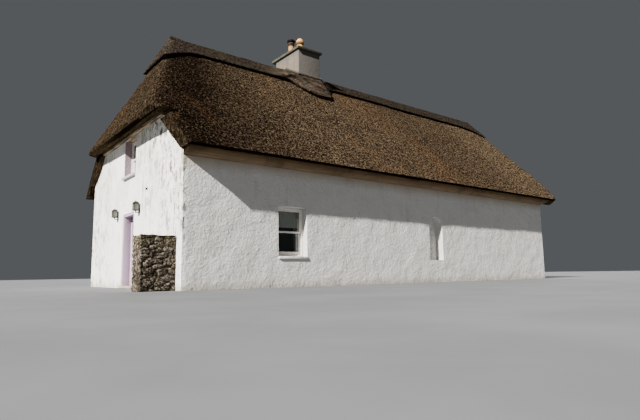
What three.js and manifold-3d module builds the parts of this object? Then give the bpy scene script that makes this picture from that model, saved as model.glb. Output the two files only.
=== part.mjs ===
// Thatched cottage: limewashed stone walls, a half-hipped reed roof with a raised ridge cap, a rendered
// chimney stack, sash windows, a half-glazed door, two wall lanterns and a rubble pier at the gable.
// Millimetres, +Z up. The origin is on the ground at the middle of the walls' plan, +X runs along the
// house towards the plain gable, and the front wall faces -Y. The door gable faces -X.

import * as THREE from 'three';
import * as BufferGeometryUtils from 'three/addons/utils/BufferGeometryUtils.js';
import Module from 'manifold-3d';

const wasm = await Module();
wasm.setup();

// Gap left where one piece rests on another
const SEAT = 0.3;

// Reach of the cutting shapes, past everything
const FAR = 20000;
const FAR_PAST = 2000;
const CLEAR = 200;
const POKE = 10;

// Walls
const HOUSE_LENGTH = 14300;
const HOUSE_WIDTH = 7200;
const WALL_THICKNESS = 600;
const WALL_HEIGHT = 2800;
const END_X = HOUSE_LENGTH / 2;
const SIDE_Y = HOUSE_WIDTH / 2;
const INNER_X = END_X - WALL_THICKNESS;
const INNER_Y = SIDE_Y - WALL_THICKNESS;

// Floors
const FLOOR_TOP = 50;
const LOFT_UNDERSIDE = 2270;
const LOFT_TOP = 2420;
const LOFT_BOARD = 30;
const JOIST_WIDTH = 75;
const JOIST_COUNT = 12;

// Roof slopes, measured on the reed surface
const EAVE_OVERHANG = 570;
const EAVE_LIP_Z = 2885;
const LIP_TRIM = 95;
const LIP_THICKNESS = 18;
const LIP_UNDERCUT = 15;
const REAR_LIP_THICKNESS = 45;
const ROOF_APEX_Z = 7020;
const THATCH_THICKNESS = 400;
const THATCH_BEARING = 150;
const SOFFIT_REACH = 330;
const SOFFIT_RISE = 137;
const REAR_SOFFIT_RISE = 10;
const SOFFIT_THICKNESS = 22;
const SOFFIT_BEARING = 20;
const SOFFIT_PAST_END = 100;
const EAVE_Y = SIDE_Y + EAVE_OVERHANG;
const BOARD_GAP = 1.5;
const REAR_FOOT_START = 2860;
const REAR_FOOT_RISE = 325;
const ROOF_TAN = (ROOF_APEX_Z - EAVE_LIP_Z) / EAVE_Y;
const ROOF_PITCH = Math.atan(ROOF_TAN);
const THATCH_VERTICAL = THATCH_THICKNESS / Math.cos(ROOF_PITCH);

// Left half-hip and the two ends
const HIP_OVERHANG = 470;
const HIP_LIP_Z = 4030;
const HIP_LIP_FALL = 0.03;
const HIP_LIP_PIVOT_Y = 300;
const HIP_LIP_FACE = 70;
const HIP_LIP_DEPTH = 90;
const HIP_LIP_UNDER = 270;
const HIP_NOSE_Z = 3860;
const HIP_NOSE_REACH = 450;
const HIP_CORNER_START = 2400;
const HIP_CORNER_END = 3120;
const HIP_REAR_TRIM = 120;
const HIP_TOP_INSET = 1020;
const HIP_CORNER_PULL = 150;
const HIP_UNDER_FALL = 1200;
const VERGE_LEFT = 140;
const VERGE_LEFT_FOOT = 50;
const VERGE_LEFT_HEAD = 240;
const VERGE_FOOT_Z = 2950;
const NOTCH_END_X = -7080;
const NOTCH_END_Z = 3880;
const NOTCH_END_HALF = 18;
const NOTCH_BOTTOM_Z = 3750;
const NOTCH_TOP_Z = 3935;
const NOTCH_INNER_Y = 2400;
const VERGE_RIGHT = 850;
const HIP_LIP_X = -END_X - HIP_OVERHANG;
const HIP_TOP_X = -END_X + HIP_TOP_INSET;
const HIP_PITCH = Math.atan((ROOF_APEX_Z - HIP_LIP_Z) / (HIP_TOP_X - HIP_LIP_X));
const HIP_ARRIS_RADIUS = 450;
const CAP_ARRIS_RADIUS = 160;
const REAR_ARRIS_EXTRA = 50;
const HIP_ARRIS_FACETS = 4;
const EAVE_CORNER_ALONG = 950;
const EAVE_CORNER_ACROSS = 1370;

// Roof timbers
const RAFTER_DEPTH = 110;
const RAFTER_WIDTH = 75;
const RAFTER_PLACES = [-5700, -4500, -3300, -2250, -1125, 75, 1275, 2475, 3675, 4875, 6075];
const COLLAR_Z = 5200;
const COLLAR_DEPTH = 120;
const WALL_PLATE_DEPTH = 150;
const WALL_PLATE_WIDTH = 150;
const RIDGE_BEAM_DEPTH = 200;
const RIDGE_BEAM_WIDTH = 80;
const STACK_CLEARANCE = 60;
const RAFTER_FOOT_INSET = 10;
const WALL_PLATE_INSET = 20;
const RIDGE_BEAM_LAP = 40;

// Ridge cap
const CAP_THICKNESS = 90;
const CAP_EDGE_Z = 6580;
const CAP_HIP_EDGE_Z = 6150;
const CAP_RIGHT_EDGE_Z = 6180;
const CAP_APRON_Z = 6040;
const CAP_TOP_Z = 7400;
const CAP_APRON_REACH = 450;
const CAP_WAVE = 60;
const CAP_HIP_TURN = { start: 550, pull: 100, end: 800 };
const CAP_APRON_FALL = [350, 500, 950];
const CAP_APRON_RISE = [350, 100, 80, 150];
const CAP_RIGHT_TURN = { start: 1300, pull: 500, lift: 20 };
const NIB_RISE = 62;
const NIB_LENGTH = 380;
const NIB_ROOT = 400;
const NIB_HALF_WIDTH = 150;
const NIB_SHOULDER = 155;
const NIB_BACK = 500;
const NIB_LIP = 60;
const NIB_LIP_RISE = 50;
const NIB_END_DROP = 10;
const SADDLE_STACK_Z = 6790;
const SADDLE_RIDGE_RISE = 20;
const SADDLE_LEFT = 1250;
const SADDLE_RIGHT = 620;
const SADDLE_SINK = 40;
const SADDLE_SIDE = [[1140, 5950], [1110, 6140], [1020, 6400], [880, 6620]];
const SADDLE_STEPS = 32;
const SADDLE_RIGHT_FADE = 260;
const SADDLE_LEFT_FADE = SADDLE_LEFT + 80;
const SADDLE_AT_STACK = 20;
const FLAUNCHING_RISE = 70;
const FLAUNCHING_REACH = 55;

// Chimney
const STACK_X = -1650;
const STACK_LENGTH = 880;
const STACK_WIDTH = 1350;
const STACK_TOP = 7670;
const CHIMNEY_SLAB_LENGTH = 1000;
const CHIMNEY_SLAB_WIDTH = 1480;
const CHIMNEY_SLAB_REAR = 130;
const CHIMNEY_SLAB_THICKNESS = 85;
const POT_X = STACK_X - 80;
const POT_SPREAD = 260;
const REAR_POT_HEIGHT = 560;
const FRONT_POT_HEIGHT = 515;
const FRONT_POT_SHOULDER = FRONT_POT_HEIGHT - 210;

// Half profiles of the turned pots and the cowl, as radius and height
const REAR_POT = [
  [0, 0], [125, 0], [118, 80], [98, 100], [94, REAR_POT_HEIGHT - 60],
  [112, REAR_POT_HEIGHT - 45], [112, REAR_POT_HEIGHT], [0, REAR_POT_HEIGHT],
];
const COWL = [[0, 0], [90, 0], [90, 25], [142, 30], [142, 80], [120, 105], [0, 115]];
const FRONT_POT = [
  [0, 0], [125, 0], [118, 60], [112, FRONT_POT_SHOULDER], [138, FRONT_POT_SHOULDER + 12],
  [138, FRONT_POT_SHOULDER + 55], [118, FRONT_POT_SHOULDER + 68], [118, FRONT_POT_SHOULDER + 110],
  [98, FRONT_POT_SHOULDER + 165], [58, FRONT_POT_SHOULDER + 198], [0, FRONT_POT_HEIGHT],
];

// Front window and arched recess, by their left edge along the front wall
const FRONT_WINDOW_X = -END_X + 2340;
const FRONT_WINDOW_WIDTH = 830;
const FRONT_WINDOW_SILL = 660;
const FRONT_WINDOW_HEAD = 1900;
const RECESS_X = -END_X + 7720;
const RECESS_WIDTH = 620;
const RECESS_SILL = 660;
const RECESS_CROWN = 1960;
const RECESS_DEPTH = 260;

// Rear windows, by their centre
const REAR_WINDOW_CENTRES = [-4400, 3600];

// Gable window and door, centred on the gable
const GABLE_WINDOW_WIDTH = 950;
const GABLE_WINDOW_SILL = 2890;
const GABLE_WALL_TOP = 3970;
const PLATE_TOP = 4040;
const PLATE_REACH = 80;
const PLATE_CLEARANCE = 5;
const LINTEL_BEARING = 150;
const PLATE_END_CUT = 90;
const PLATE_IN_WALL = 60;
const LINTEL_SETBACK = 40;
const GABLE_LAP = 50;
const DOOR_WIDTH = 930;
const DOOR_HEAD = 1950;

// Window joinery, from the wall's outer face
const WINDOW_SETBACK = 180;
const FRAME_DEPTH = 110;
const FRAME_FACE = 50;
const SASH_STILE = 45;
const SASH_THICKNESS = 35;
const MEETING_RAIL = 40;
const BOTTOM_RAIL = 70;
const GLASS_THICKNESS = 5;
const SASH_SETBACK = 15;
const FRONT_STOOL = { thickness: 60, nose: 30 };
const GABLE_STOOL = { thickness: 70, nose: 70 };
const CLOTH_INSET = 25;
const BLIND_THICKNESS = 20;
const BLIND_BOTTOM = 140;
const CURTAIN_THICKNESS = 25;
const CURTAIN_BOTTOM = 120;

// Door joinery
const DOOR_LINING_DEPTH = 200;
const DOOR_FRAME_FACE = 50;
const DOOR_STOP = 14;
const DOOR_LEAF_THICKNESS = 45;
const DOOR_GAP = 7;
const DOOR_STOP_GAP = 5;
const THRESHOLD_TOP = 60;
const KNUCKLE_RADIUS = 8;
const KNUCKLE_HEIGHT = 50;
const KNUCKLE_PLACES = [220, 280];
const HINGE_FLAP = { frame: 40, leaf: 50, sink: 5, stand: 4 };
const DOOR_OUTER_SETBACK = 15;
const DOOR_PASSAGE_SETBACK = 5;
const DOOR_MARGIN = 110;
const DOOR_LIGHT = { bottom: 950, top: 120, thickness: 6 };
const DOOR_PANEL = { bottom: 200, top: 820, depth: 14 };
const SPINDLE = { inset: 60, height: 900, radius: 10, reach: 45 };
const LEVER = { rose: 26, roseDepth: 8, length: 110, half: 10, depth: 12 };
const THRESHOLD_NOSE = 40;

// Stone pier against the gable
const PIER_LENGTH = 740;
const PIER_THICKNESS = 550;
const PIER_HEIGHT = 1150;
const PIER_FRONT_Y = -SIDE_Y + 260;

// Lanterns
const LANTERN_SPREAD = 900;
const LANTERN_BASE_Z = 1915;
const LANTERN_SIZE = 130;
const LANTERN_GLASS_HEIGHT = 155;
const LANTERN_REACH = 100;
const LANTERN_PLATE = { depth: 12, half: 32, below: 75, above: 60 };
const LANTERN_ARM = { half: 9, bottom: 50, top: 28 };
const LANTERN_TRAY = 20;
const LANTERN_HEAD = 15;
const LANTERN_HOOD = { lap: 8, top: 30, height: 60 };
const LANTERN_KNOB = { top: 8, bottom: 12, height: 80 };
const LANTERN_POST = { inset: 9, half: 8 };
const LANTERN_LAP = 5;

// Boss of a tie through the gable
const BOSS = { outer: 28, inner: 35, depth: 40, fromCorner: 2180, z: 2400 };

const materials = {
  limewash: material(0xd9d6d0, 0.95),
  stone: material(0x8d8377, 0.95),
  concrete: material(0x8f8c86, 0.95),
  render: material(0xa39f94, 0.92),
  mortar: material(0xb8b2a6, 0.95),
  terracotta: material(0xa8623f, 0.85),
  cream: material(0xd8c39c, 0.7),
  soot: material(0x26221f, 0.6, 0.6),
  reed: material(0x5f5040, 1),
  sedge: material(0x56493c, 1),
  timber: material(0x8a6f52, 0.85),
  paleTimber: material(0xb9ad98, 0.85),
  whitePaint: material(0xe4e1d8, 0.5),
  lavender: material(0xb3a3bd, 0.55),
  glass: material(0x1c2226, 0.08),
  linen: material(0xc9c6bd, 0.9),
  lanternMetal: material(0x6d6f68, 0.5, 0.7),
  iron: material(0x3b3835, 0.6, 0.8),
};

const cottage = new THREE.Group();

function material(color, roughness, metalness = 0) {
  return new THREE.MeshStandardMaterial({ color, roughness, metalness });
}

// Closed mesh to solid and back
function solid(geometry) {
  const bare = geometry.index ? geometry.toNonIndexed() : geometry.clone();
  bare.deleteAttribute('normal');
  bare.deleteAttribute('uv');
  const merged = BufferGeometryUtils.mergeVertices(bare, 1e-3);
  const vertProperties = new Float32Array(merged.attributes.position.array);
  const triVerts = new Uint32Array(merged.index.array);
  return new wasm.Manifold(new wasm.Mesh({ numProp: 3, vertProperties, triVerts }));
}

function geometryOf(body) {
  const mesh = body.getMesh();
  const geometry = new THREE.BufferGeometry();
  geometry.setAttribute('position', new THREE.BufferAttribute(mesh.vertProperties, 3));
  geometry.setIndex(new THREE.BufferAttribute(mesh.triVerts, 1));
  return geometry;
}

function add(name, body, finish, parent = cottage) {
  const mesh = new THREE.Mesh(geometryOf(body), finish);
  mesh.name = name;
  parent.add(mesh);
}

function union(bodies) {
  return bodies.reduce((joined, body) => joined.add(body));
}

// Box between two corners
function block(x0, x1, y0, y1, z0, z1) {
  const geometry = new THREE.BoxGeometry(x1 - x0, y1 - y0, z1 - z0);
  geometry.translate((x0 + x1) / 2, (y0 + y1) / 2, (z0 + z1) / 2);
  return solid(geometry);
}

function extrude(shape, depth, segments = 6) {
  return new THREE.ExtrudeGeometry(shape, { depth, bevelEnabled: false, curveSegments: segments });
}

function polygon(points) {
  return new THREE.Shape(points.map(([a, b]) => new THREE.Vector2(a, b)));
}

// Prisms from an outline in YZ, XZ and XY
function prismAlongX(shape, x0, x1, segments) {
  const geometry = extrude(shape, x1 - x0, segments);
  const across = new THREE.Vector3(0, 1, 0);
  const up = new THREE.Vector3(0, 0, 1);
  const along = new THREE.Vector3(1, 0, 0);
  geometry.applyMatrix4(new THREE.Matrix4().makeBasis(across, up, along));
  geometry.translate(x0, 0, 0);
  return solid(geometry);
}

function prismAlongY(shape, y0, y1, segments) {
  const geometry = extrude(shape, y1 - y0, segments);
  geometry.rotateX(Math.PI / 2);
  geometry.translate(0, y1, 0);
  return solid(geometry);
}

function prismAlongZ(shape, z0, z1, segments) {
  const geometry = extrude(shape, z1 - z0, segments);
  geometry.translate(0, 0, z0);
  return solid(geometry);
}

function cylinder(radiusTop, radiusBottom, x, y, z0, z1, sides = 24) {
  const geometry = new THREE.CylinderGeometry(radiusTop, radiusBottom, z1 - z0, sides);
  geometry.rotateX(Math.PI / 2);
  geometry.translate(x, y, (z0 + z1) / 2);
  return solid(geometry);
}

function turned(profile, x, y, z, sides = 24) {
  const geometry = new THREE.LatheGeometry(profile.map(([r, h]) => new THREE.Vector2(r, h)), sides);
  geometry.rotateX(Math.PI / 2);
  geometry.translate(x, y, z);
  return solid(geometry);
}

// Everything on the inner side of a plane, as a large box
function halfSpace(point, normal) {
  const size = 40000;
  const geometry = new THREE.BoxGeometry(size, size, size);
  geometry.translate(0, 0, -size / 2);
  const turn = new THREE.Quaternion().setFromUnitVectors(new THREE.Vector3(0, 0, 1), normal);
  geometry.applyQuaternion(turn);
  geometry.translate(point.x, point.y, point.z);
  return solid(geometry);
}

// Roof planes and their normals
const frontNormal = new THREE.Vector3(0, -Math.sin(ROOF_PITCH), Math.cos(ROOF_PITCH));
const rearNormal = new THREE.Vector3(0, Math.sin(ROOF_PITCH), Math.cos(ROOF_PITCH));
const hipNormal = new THREE.Vector3(-Math.sin(HIP_PITCH), 0, Math.cos(HIP_PITCH));
const hipApex = new THREE.Vector3(HIP_TOP_X, 0, ROOF_APEX_Z);

// Facets that round the arris where two roof planes meet at the hip apex
function roundArris(body, normalA, normalB, radius, offset) {
  const spread = 1 + normalA.dot(normalB);
  const axis = hipApex.clone().addScaledVector(normalA.clone().add(normalB), -radius / spread);
  let rounded = body;
  for (let i = 1; i <= HIP_ARRIS_FACETS; i += 1) {
    const share = i / (HIP_ARRIS_FACETS + 1);
    const normal = normalA.clone().lerp(normalB, share).normalize();
    const point = axis.clone().addScaledVector(normal, radius + offset);
    rounded = rounded.intersect(halfSpace(point, normal));
  }
  return rounded;
}

// Cross-section of the roof down to the eave lips
function roofSection(offset) {
  const rise = offset / Math.cos(ROOF_PITCH);
  const front = eaveSection(LIP_TRIM, LIP_THICKNESS, SOFFIT_RISE, rise).map(([y, z]) => [-y, z]);
  const rear = eaveSection(0, REAR_LIP_THICKNESS, REAR_SOFFIT_RISE, rise);
  return polygon([...front, [0, ROOF_APEX_Z + rise], ...rear.reverse()].reverse());
}

// Points of one eave, from its bearing on the wall out to the trimmed lip
function eaveSection(trim, thickness, soffitRise, rise) {
  const lipY = EAVE_Y - trim;
  const lipZ = EAVE_LIP_Z + trim * ROOF_TAN;
  const boardY = SIDE_Y - SOFFIT_BEARING - BOARD_GAP;
  const boardTop = WALL_HEIGHT + SEAT + SOFFIT_THICKNESS + BOARD_GAP;
  return [
    [SIDE_Y - THATCH_BEARING, WALL_HEIGHT + SEAT],
    [boardY, WALL_HEIGHT + SEAT],
    [boardY, boardTop],
    [SIDE_Y + SOFFIT_REACH, boardTop + soffitRise],
    [lipY - LIP_UNDERCUT, lipZ - thickness],
    [lipY, lipZ + rise],
  ];
}

// Boards under both eaves, from the wall's head out to the reed's lip
function addSoffits() {
  const boards = [['front_soffit_board', -1, SOFFIT_RISE], ['rear_soffit_board', 1, REAR_SOFFIT_RISE]];
  for (const [name, side, soffitRise] of boards) {
    const inner = side * (SIDE_Y - SOFFIT_BEARING);
    const outer = side * (SIDE_Y + SOFFIT_REACH);
    const low = WALL_HEIGHT + SEAT;
    const board = polygon([
      [inner, low],
      [outer, low + soffitRise],
      [outer, low + soffitRise + SOFFIT_THICKNESS],
      [inner, low + SOFFIT_THICKNESS],
    ]);
    add(name, prismAlongX(board, -END_X, END_X + SOFFIT_PAST_END), materials.timber);
  }
}

// Height of the underside of the reed over a point of the section
function undersideAt(y) {
  return ROOF_APEX_Z - THATCH_VERTICAL - Math.abs(y) * ROOF_TAN;
}

// Underside over the door gable, where the rear slope thins towards its foot
function doorGableLine(footY, drop) {
  const thinning = (footY - REAR_FOOT_START) / (SIDE_Y - REAR_FOOT_START);
  return [
    [footY, undersideAt(footY) + REAR_FOOT_RISE * thinning - drop],
    [REAR_FOOT_START, undersideAt(REAR_FOOT_START) - drop],
    [0, undersideAt(0) - drop],
    [-footY, undersideAt(footY) - drop],
  ];
}

// Underside of the half-hip, rising from its lip to the timber plate
function noseAt(x) {
  const noseX = -END_X - HIP_NOSE_REACH;
  const seatX = -END_X - PLATE_REACH - PLATE_CLEARANCE;
  return HIP_NOSE_Z + (x - noseX) * (PLATE_TOP + 2 - HIP_NOSE_Z) / (seatX - noseX);
}

// Space under the half-hip and outside the door gable's verges, the front one fuller towards its head
function underHipNose() {
  const noseX = -END_X - HIP_NOSE_REACH;
  const rearX = -END_X - VERGE_LEFT;
  const footX = -END_X - VERGE_LEFT_FOOT;
  const headX = -END_X - VERGE_LEFT_HEAD;
  const notchX = headX - 10;
  const nose = [[noseX, HIP_NOSE_Z], [-FAR, HIP_NOSE_Z]];
  const rear = polygon([[-FAR, 0], [rearX, 0], [rearX, noseAt(rearX)], ...nose]);
  const front = polygon([
    [-FAR, 0], [footX, 0], [footX, VERGE_FOOT_Z], [headX, noseAt(headX)], ...nose,
  ]);
  const notch = polygon([
    [notchX, NOTCH_BOTTOM_Z],
    [NOTCH_END_X, NOTCH_END_Z - NOTCH_END_HALF],
    [NOTCH_END_X, NOTCH_END_Z + NOTCH_END_HALF],
    [notchX, NOTCH_TOP_Z],
  ]);
  return prismAlongY(rear, 0, FAR)
    .add(prismAlongY(front, -FAR, 0))
    .add(prismAlongY(notch, -FAR, -NOTCH_INNER_Y))
    .add(outsideHipLip());
}

// Space outside the half-hip's lip, which falls slightly towards the front
function outsideHipLip() {
  const lip = polygon([
    [-FAR, -HIP_UNDER_FALL],
    [HIP_LIP_X + HIP_LIP_UNDER, -HIP_UNDER_FALL],
    [HIP_LIP_X + HIP_LIP_UNDER, -HIP_LIP_DEPTH],
    [HIP_LIP_X + HIP_LIP_DEPTH, -HIP_LIP_DEPTH],
    [HIP_LIP_X + HIP_LIP_FACE / 4, -HIP_LIP_FACE],
    [HIP_LIP_X, 0],
    [-FAR, 0],
  ]);
  const geometry = extrude(lip, 2 * FAR, 1);
  geometry.rotateX(Math.PI / 2);
  geometry.translate(0, FAR, 0);
  geometry.rotateX(Math.atan(HIP_LIP_FALL));
  geometry.translate(0, HIP_LIP_PIVOT_Y, HIP_LIP_Z);
  return solid(geometry);
}

// Plan of the roof, with the far eave corners rounded off
function roofPlan() {
  const verge = -END_X - VERGE_LEFT_HEAD - 30;
  const nose = HIP_LIP_X - 2;
  const rearEnd = HIP_CORNER_END - HIP_REAR_TRIM;
  const right = END_X + VERGE_RIGHT;
  const past = EAVE_Y + CLEAR;
  const turn = right - EAVE_CORNER_ALONG;
  const plan = new THREE.Shape();
  plan.moveTo(verge, -past);
  plan.lineTo(turn - CLEAR, -past);
  plan.lineTo(turn, -EAVE_Y);
  plan.quadraticCurveTo(right, -EAVE_Y, right, -EAVE_Y + EAVE_CORNER_ACROSS);
  plan.lineTo(right, EAVE_Y - EAVE_CORNER_ACROSS);
  plan.quadraticCurveTo(right, EAVE_Y, turn, EAVE_Y);
  plan.lineTo(turn - CLEAR, past);
  plan.lineTo(verge, past);
  plan.lineTo(verge, rearEnd);
  plan.quadraticCurveTo(nose, rearEnd - HIP_CORNER_PULL, nose, HIP_CORNER_START - HIP_REAR_TRIM);
  plan.lineTo(nose, -HIP_CORNER_START);
  plan.quadraticCurveTo(nose, -HIP_CORNER_END + HIP_CORNER_PULL, verge, -HIP_CORNER_END);
  return plan;
}

// Outer body of the roof, raised by an offset for the cap
function roofBody(offset, arrisRadius = HIP_ARRIS_RADIUS) {
  const right = END_X + VERGE_RIGHT;
  const section = prismAlongX(roofSection(offset), HIP_LIP_X - CLEAR, right);
  const hipPoint = hipApex.clone().addScaledVector(hipNormal, offset);
  let body = section.intersect(halfSpace(hipPoint, hipNormal));
  body = roundArris(body, frontNormal, hipNormal, arrisRadius, offset);
  body = roundArris(body, rearNormal, hipNormal, arrisRadius + REAR_ARRIS_EXTRA, offset);
  body = body.intersect(prismAlongZ(roofPlan(), 0, FAR, 8));
  return body.subtract(underHipNose());
}

// Open loft under the reed
function roofVoid() {
  const reach = EAVE_Y + FAR_PAST;
  const below = WALL_HEIGHT - CLEAR * 2;
  const bearing = SIDE_Y - THATCH_BEARING;
  const slopes = polygon([
    [-reach, below],
    [reach, below],
    [reach, WALL_HEIGHT + SEAT],
    [bearing, WALL_HEIGHT + SEAT],
    [bearing, undersideAt(bearing)],
    [0, undersideAt(0)],
    [-bearing, undersideAt(bearing)],
    [-bearing, WALL_HEIGHT + SEAT],
    [-reach, WALL_HEIGHT + SEAT],
  ]);
  const rest = WALL_HEIGHT + SEAT;
  const bearingEnd = SIDE_Y - SOFFIT_BEARING;
  const gable = polygon([[-bearingEnd, rest], [bearingEnd, rest], ...doorGableLine(bearingEnd, 0)]);
  const overGable = prismAlongX(gable, -END_X - SEAT, SEAT - INNER_X);
  const loft = prismAlongX(slopes, -END_X - FAR_PAST, END_X + FAR_PAST).add(overGable);
  const underHip = hipApex.clone().addScaledVector(hipNormal, -THATCH_THICKNESS);
  const behindHip = loft.intersect(halfSpace(underHip, hipNormal));
  const verges = polygon([
    [-SIDE_Y, below],
    [SIDE_Y, below],
    [SIDE_Y, undersideAt(SIDE_Y)],
    [0, undersideAt(0)],
    [-SIDE_Y, undersideAt(SIDE_Y)],
  ]);
  const footZ = WALL_HEIGHT + SOFFIT_RISE + SOFFIT_THICKNESS;
  const footY = (undersideAt(0) - footZ) / ROOF_TAN;
  const underFoot = block(-END_X - FAR_PAST, -END_X - SEAT, -reach, -footY, below, footZ);
  const leftLine = polygon([[-SIDE_Y, below], [SIDE_Y, below], ...doorGableLine(SIDE_Y, 0)]);
  const leftFace = prismAlongX(leftLine, -END_X - FAR_PAST, -END_X - SEAT);
  const leftVerge = leftFace.add(underFoot).intersect(underHipVerge());
  const rightVerge = prismAlongX(verges, END_X + SEAT, END_X + FAR_PAST);
  return behindHip.add(leftVerge).add(rightVerge);
}

// Limits the open verge to below the half-hip's soffit
function underHipVerge() {
  const soffit = polygon([
    [-FAR, 0],
    [-END_X + CLEAR, 0],
    [-END_X + CLEAR, PLATE_TOP + 2],
    [-END_X - PLATE_REACH - PLATE_CLEARANCE, PLATE_TOP + 2],
    [-END_X - HIP_NOSE_REACH, HIP_NOSE_Z],
    [-FAR, HIP_NOSE_Z],
  ]);
  return prismAlongY(soffit, -FAR, FAR);
}

function stackHole() {
  const x = STACK_LENGTH / 2 + SEAT;
  const y = STACK_WIDTH / 2 + SEAT;
  return block(STACK_X - x, STACK_X + x, -y, y, 0, CAP_TOP_Z + 600);
}

// Reed thatch, split at the ridge and along the hip arrises
function addThatch() {
  const reed = roofBody(0).subtract(roofVoid()).subtract(stackHole());
  const gap = SEAT / 2;
  const frontSplit = hipNormal.clone().sub(frontNormal).normalize();
  const rearSplit = hipNormal.clone().sub(rearNormal).normalize();
  const onSlopeFront = halfSpace(hipApex.clone().addScaledVector(frontSplit, -gap), frontSplit);
  const onSlopeRear = halfSpace(hipApex.clone().addScaledVector(rearSplit, -gap), rearSplit);
  const onHipFront = halfSpace(hipApex.clone().addScaledVector(frontSplit, gap), frontSplit.clone().negate());
  const onHipRear = halfSpace(hipApex.clone().addScaledVector(rearSplit, gap), rearSplit.clone().negate());
  const frontHalf = block(-FAR, FAR, -FAR, -gap, 0, FAR);
  const rearHalf = block(-FAR, FAR, gap, FAR, 0, FAR);
  const vergeHead = -END_X - VERGE_LEFT_HEAD - 5;
  const underNotch = block(vergeHead, FAR, -FAR, -NOTCH_INNER_Y, 0, NOTCH_END_Z - gap);
  const overNotch = block(vergeHead, FAR, -FAR, -NOTCH_INNER_Y, 0, NOTCH_END_Z + gap);
  add('front_thatch', reed.intersect(frontHalf).intersect(onSlopeFront.add(underNotch)), materials.reed);
  add('rear_thatch', reed.intersect(rearHalf).intersect(onSlopeRear), materials.reed);
  add('hip_thatch', reed.intersect(onHipFront).intersect(onHipRear).subtract(overNotch), materials.reed);
}

// Raised ridge cap, deeper at both ends and under the stack
function addRidgeCap() {
  const left = HIP_LIP_X - CLEAR * 2;
  const right = END_X + VERGE_RIGHT;
  const apronLeft = STACK_X - STACK_LENGTH / 2 - CAP_APRON_REACH;
  const apronRight = STACK_X + STACK_LENGTH / 2 + CAP_APRON_REACH;
  const edge = new THREE.Shape();
  edge.moveTo(left, CAP_TOP_Z);
  edge.lineTo(left, CAP_HIP_EDGE_Z);
  edge.lineTo(HIP_TOP_X - CAP_HIP_TURN.start, CAP_HIP_EDGE_Z);
  edge.bezierCurveTo(
    HIP_TOP_X - CAP_HIP_TURN.pull, CAP_HIP_EDGE_Z + CAP_WAVE,
    HIP_TOP_X + CAP_HIP_TURN.pull, CAP_EDGE_Z, HIP_TOP_X + CAP_HIP_TURN.end, CAP_EDGE_Z,
  );
  edge.lineTo(apronLeft, CAP_EDGE_Z);
  const [leave, bend, settle] = CAP_APRON_FALL;
  edge.bezierCurveTo(
    apronLeft + leave, CAP_EDGE_Z, apronLeft + bend, CAP_APRON_Z, apronLeft + settle, CAP_APRON_Z,
  );
  const [lift, lowPull, highPull, rejoin] = CAP_APRON_RISE;
  edge.lineTo(apronRight - lift, CAP_APRON_Z);
  edge.bezierCurveTo(
    apronRight - lowPull, CAP_APRON_Z + CAP_WAVE,
    apronRight - highPull, CAP_EDGE_Z + CAP_WAVE, apronRight + rejoin, CAP_EDGE_Z + CAP_WAVE,
  );
  edge.lineTo(right - CAP_RIGHT_TURN.start, CAP_EDGE_Z + CAP_RIGHT_TURN.lift);
  edge.quadraticCurveTo(right - CAP_RIGHT_TURN.pull, CAP_EDGE_Z, right, CAP_RIGHT_EDGE_Z);
  edge.lineTo(right + CLEAR, CAP_RIGHT_EDGE_Z);
  edge.lineTo(right + CLEAR, CAP_TOP_Z);
  const band = prismAlongY(edge, -SIDE_Y, SIDE_Y, 8);
  const sheath = roofBody(CAP_THICKNESS, CAP_ARRIS_RADIUS).add(ridgeNib());
  const raised = sheath.intersect(band).add(saddle(0).intersect(band));
  const cap = raised.subtract(roofBody(SEAT)).subtract(stackHole());
  add('ridge_cap', cap, materials.sedge);
  addFlaunching(raised);
}

// Upturned tip where the ridge meets the hip
function ridgeNib() {
  const tipX = HIP_TOP_X - CAP_THICKNESS / 2;
  const capZ = ROOF_APEX_Z + CAP_THICKNESS / Math.cos(ROOF_PITCH);
  const profile = polygon([
    [tipX - NIB_BACK, capZ - NIB_ROOT],
    [tipX + NIB_LENGTH, capZ - NIB_ROOT],
    [tipX + NIB_LENGTH, capZ - NIB_END_DROP],
    [tipX + NIB_LIP, capZ + NIB_LIP_RISE],
    [tipX, capZ + NIB_RISE],
    [tipX - NIB_BACK, capZ + NIB_RISE],
  ]);
  const section = polygon([
    [-NIB_HALF_WIDTH, capZ - NIB_ROOT],
    [NIB_HALF_WIDTH, capZ - NIB_ROOT],
    [NIB_HALF_WIDTH, capZ - NIB_SHOULDER],
    [0, capZ + NIB_RISE + 1],
    [-NIB_HALF_WIDTH, capZ - NIB_SHOULDER],
  ]);
  const hipPoint = hipApex.clone().addScaledVector(hipNormal, CAP_THICKNESS - 1);
  const ridge = prismAlongX(section, tipX - NIB_BACK - CLEAR, tipX + NIB_LENGTH + CLEAR);
  const upturn = prismAlongY(profile, -NIB_HALF_WIDTH * 2, NIB_HALF_WIDTH * 2);
  return ridge.intersect(upturn).intersect(halfSpace(hipPoint, hipNormal));
}

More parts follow.
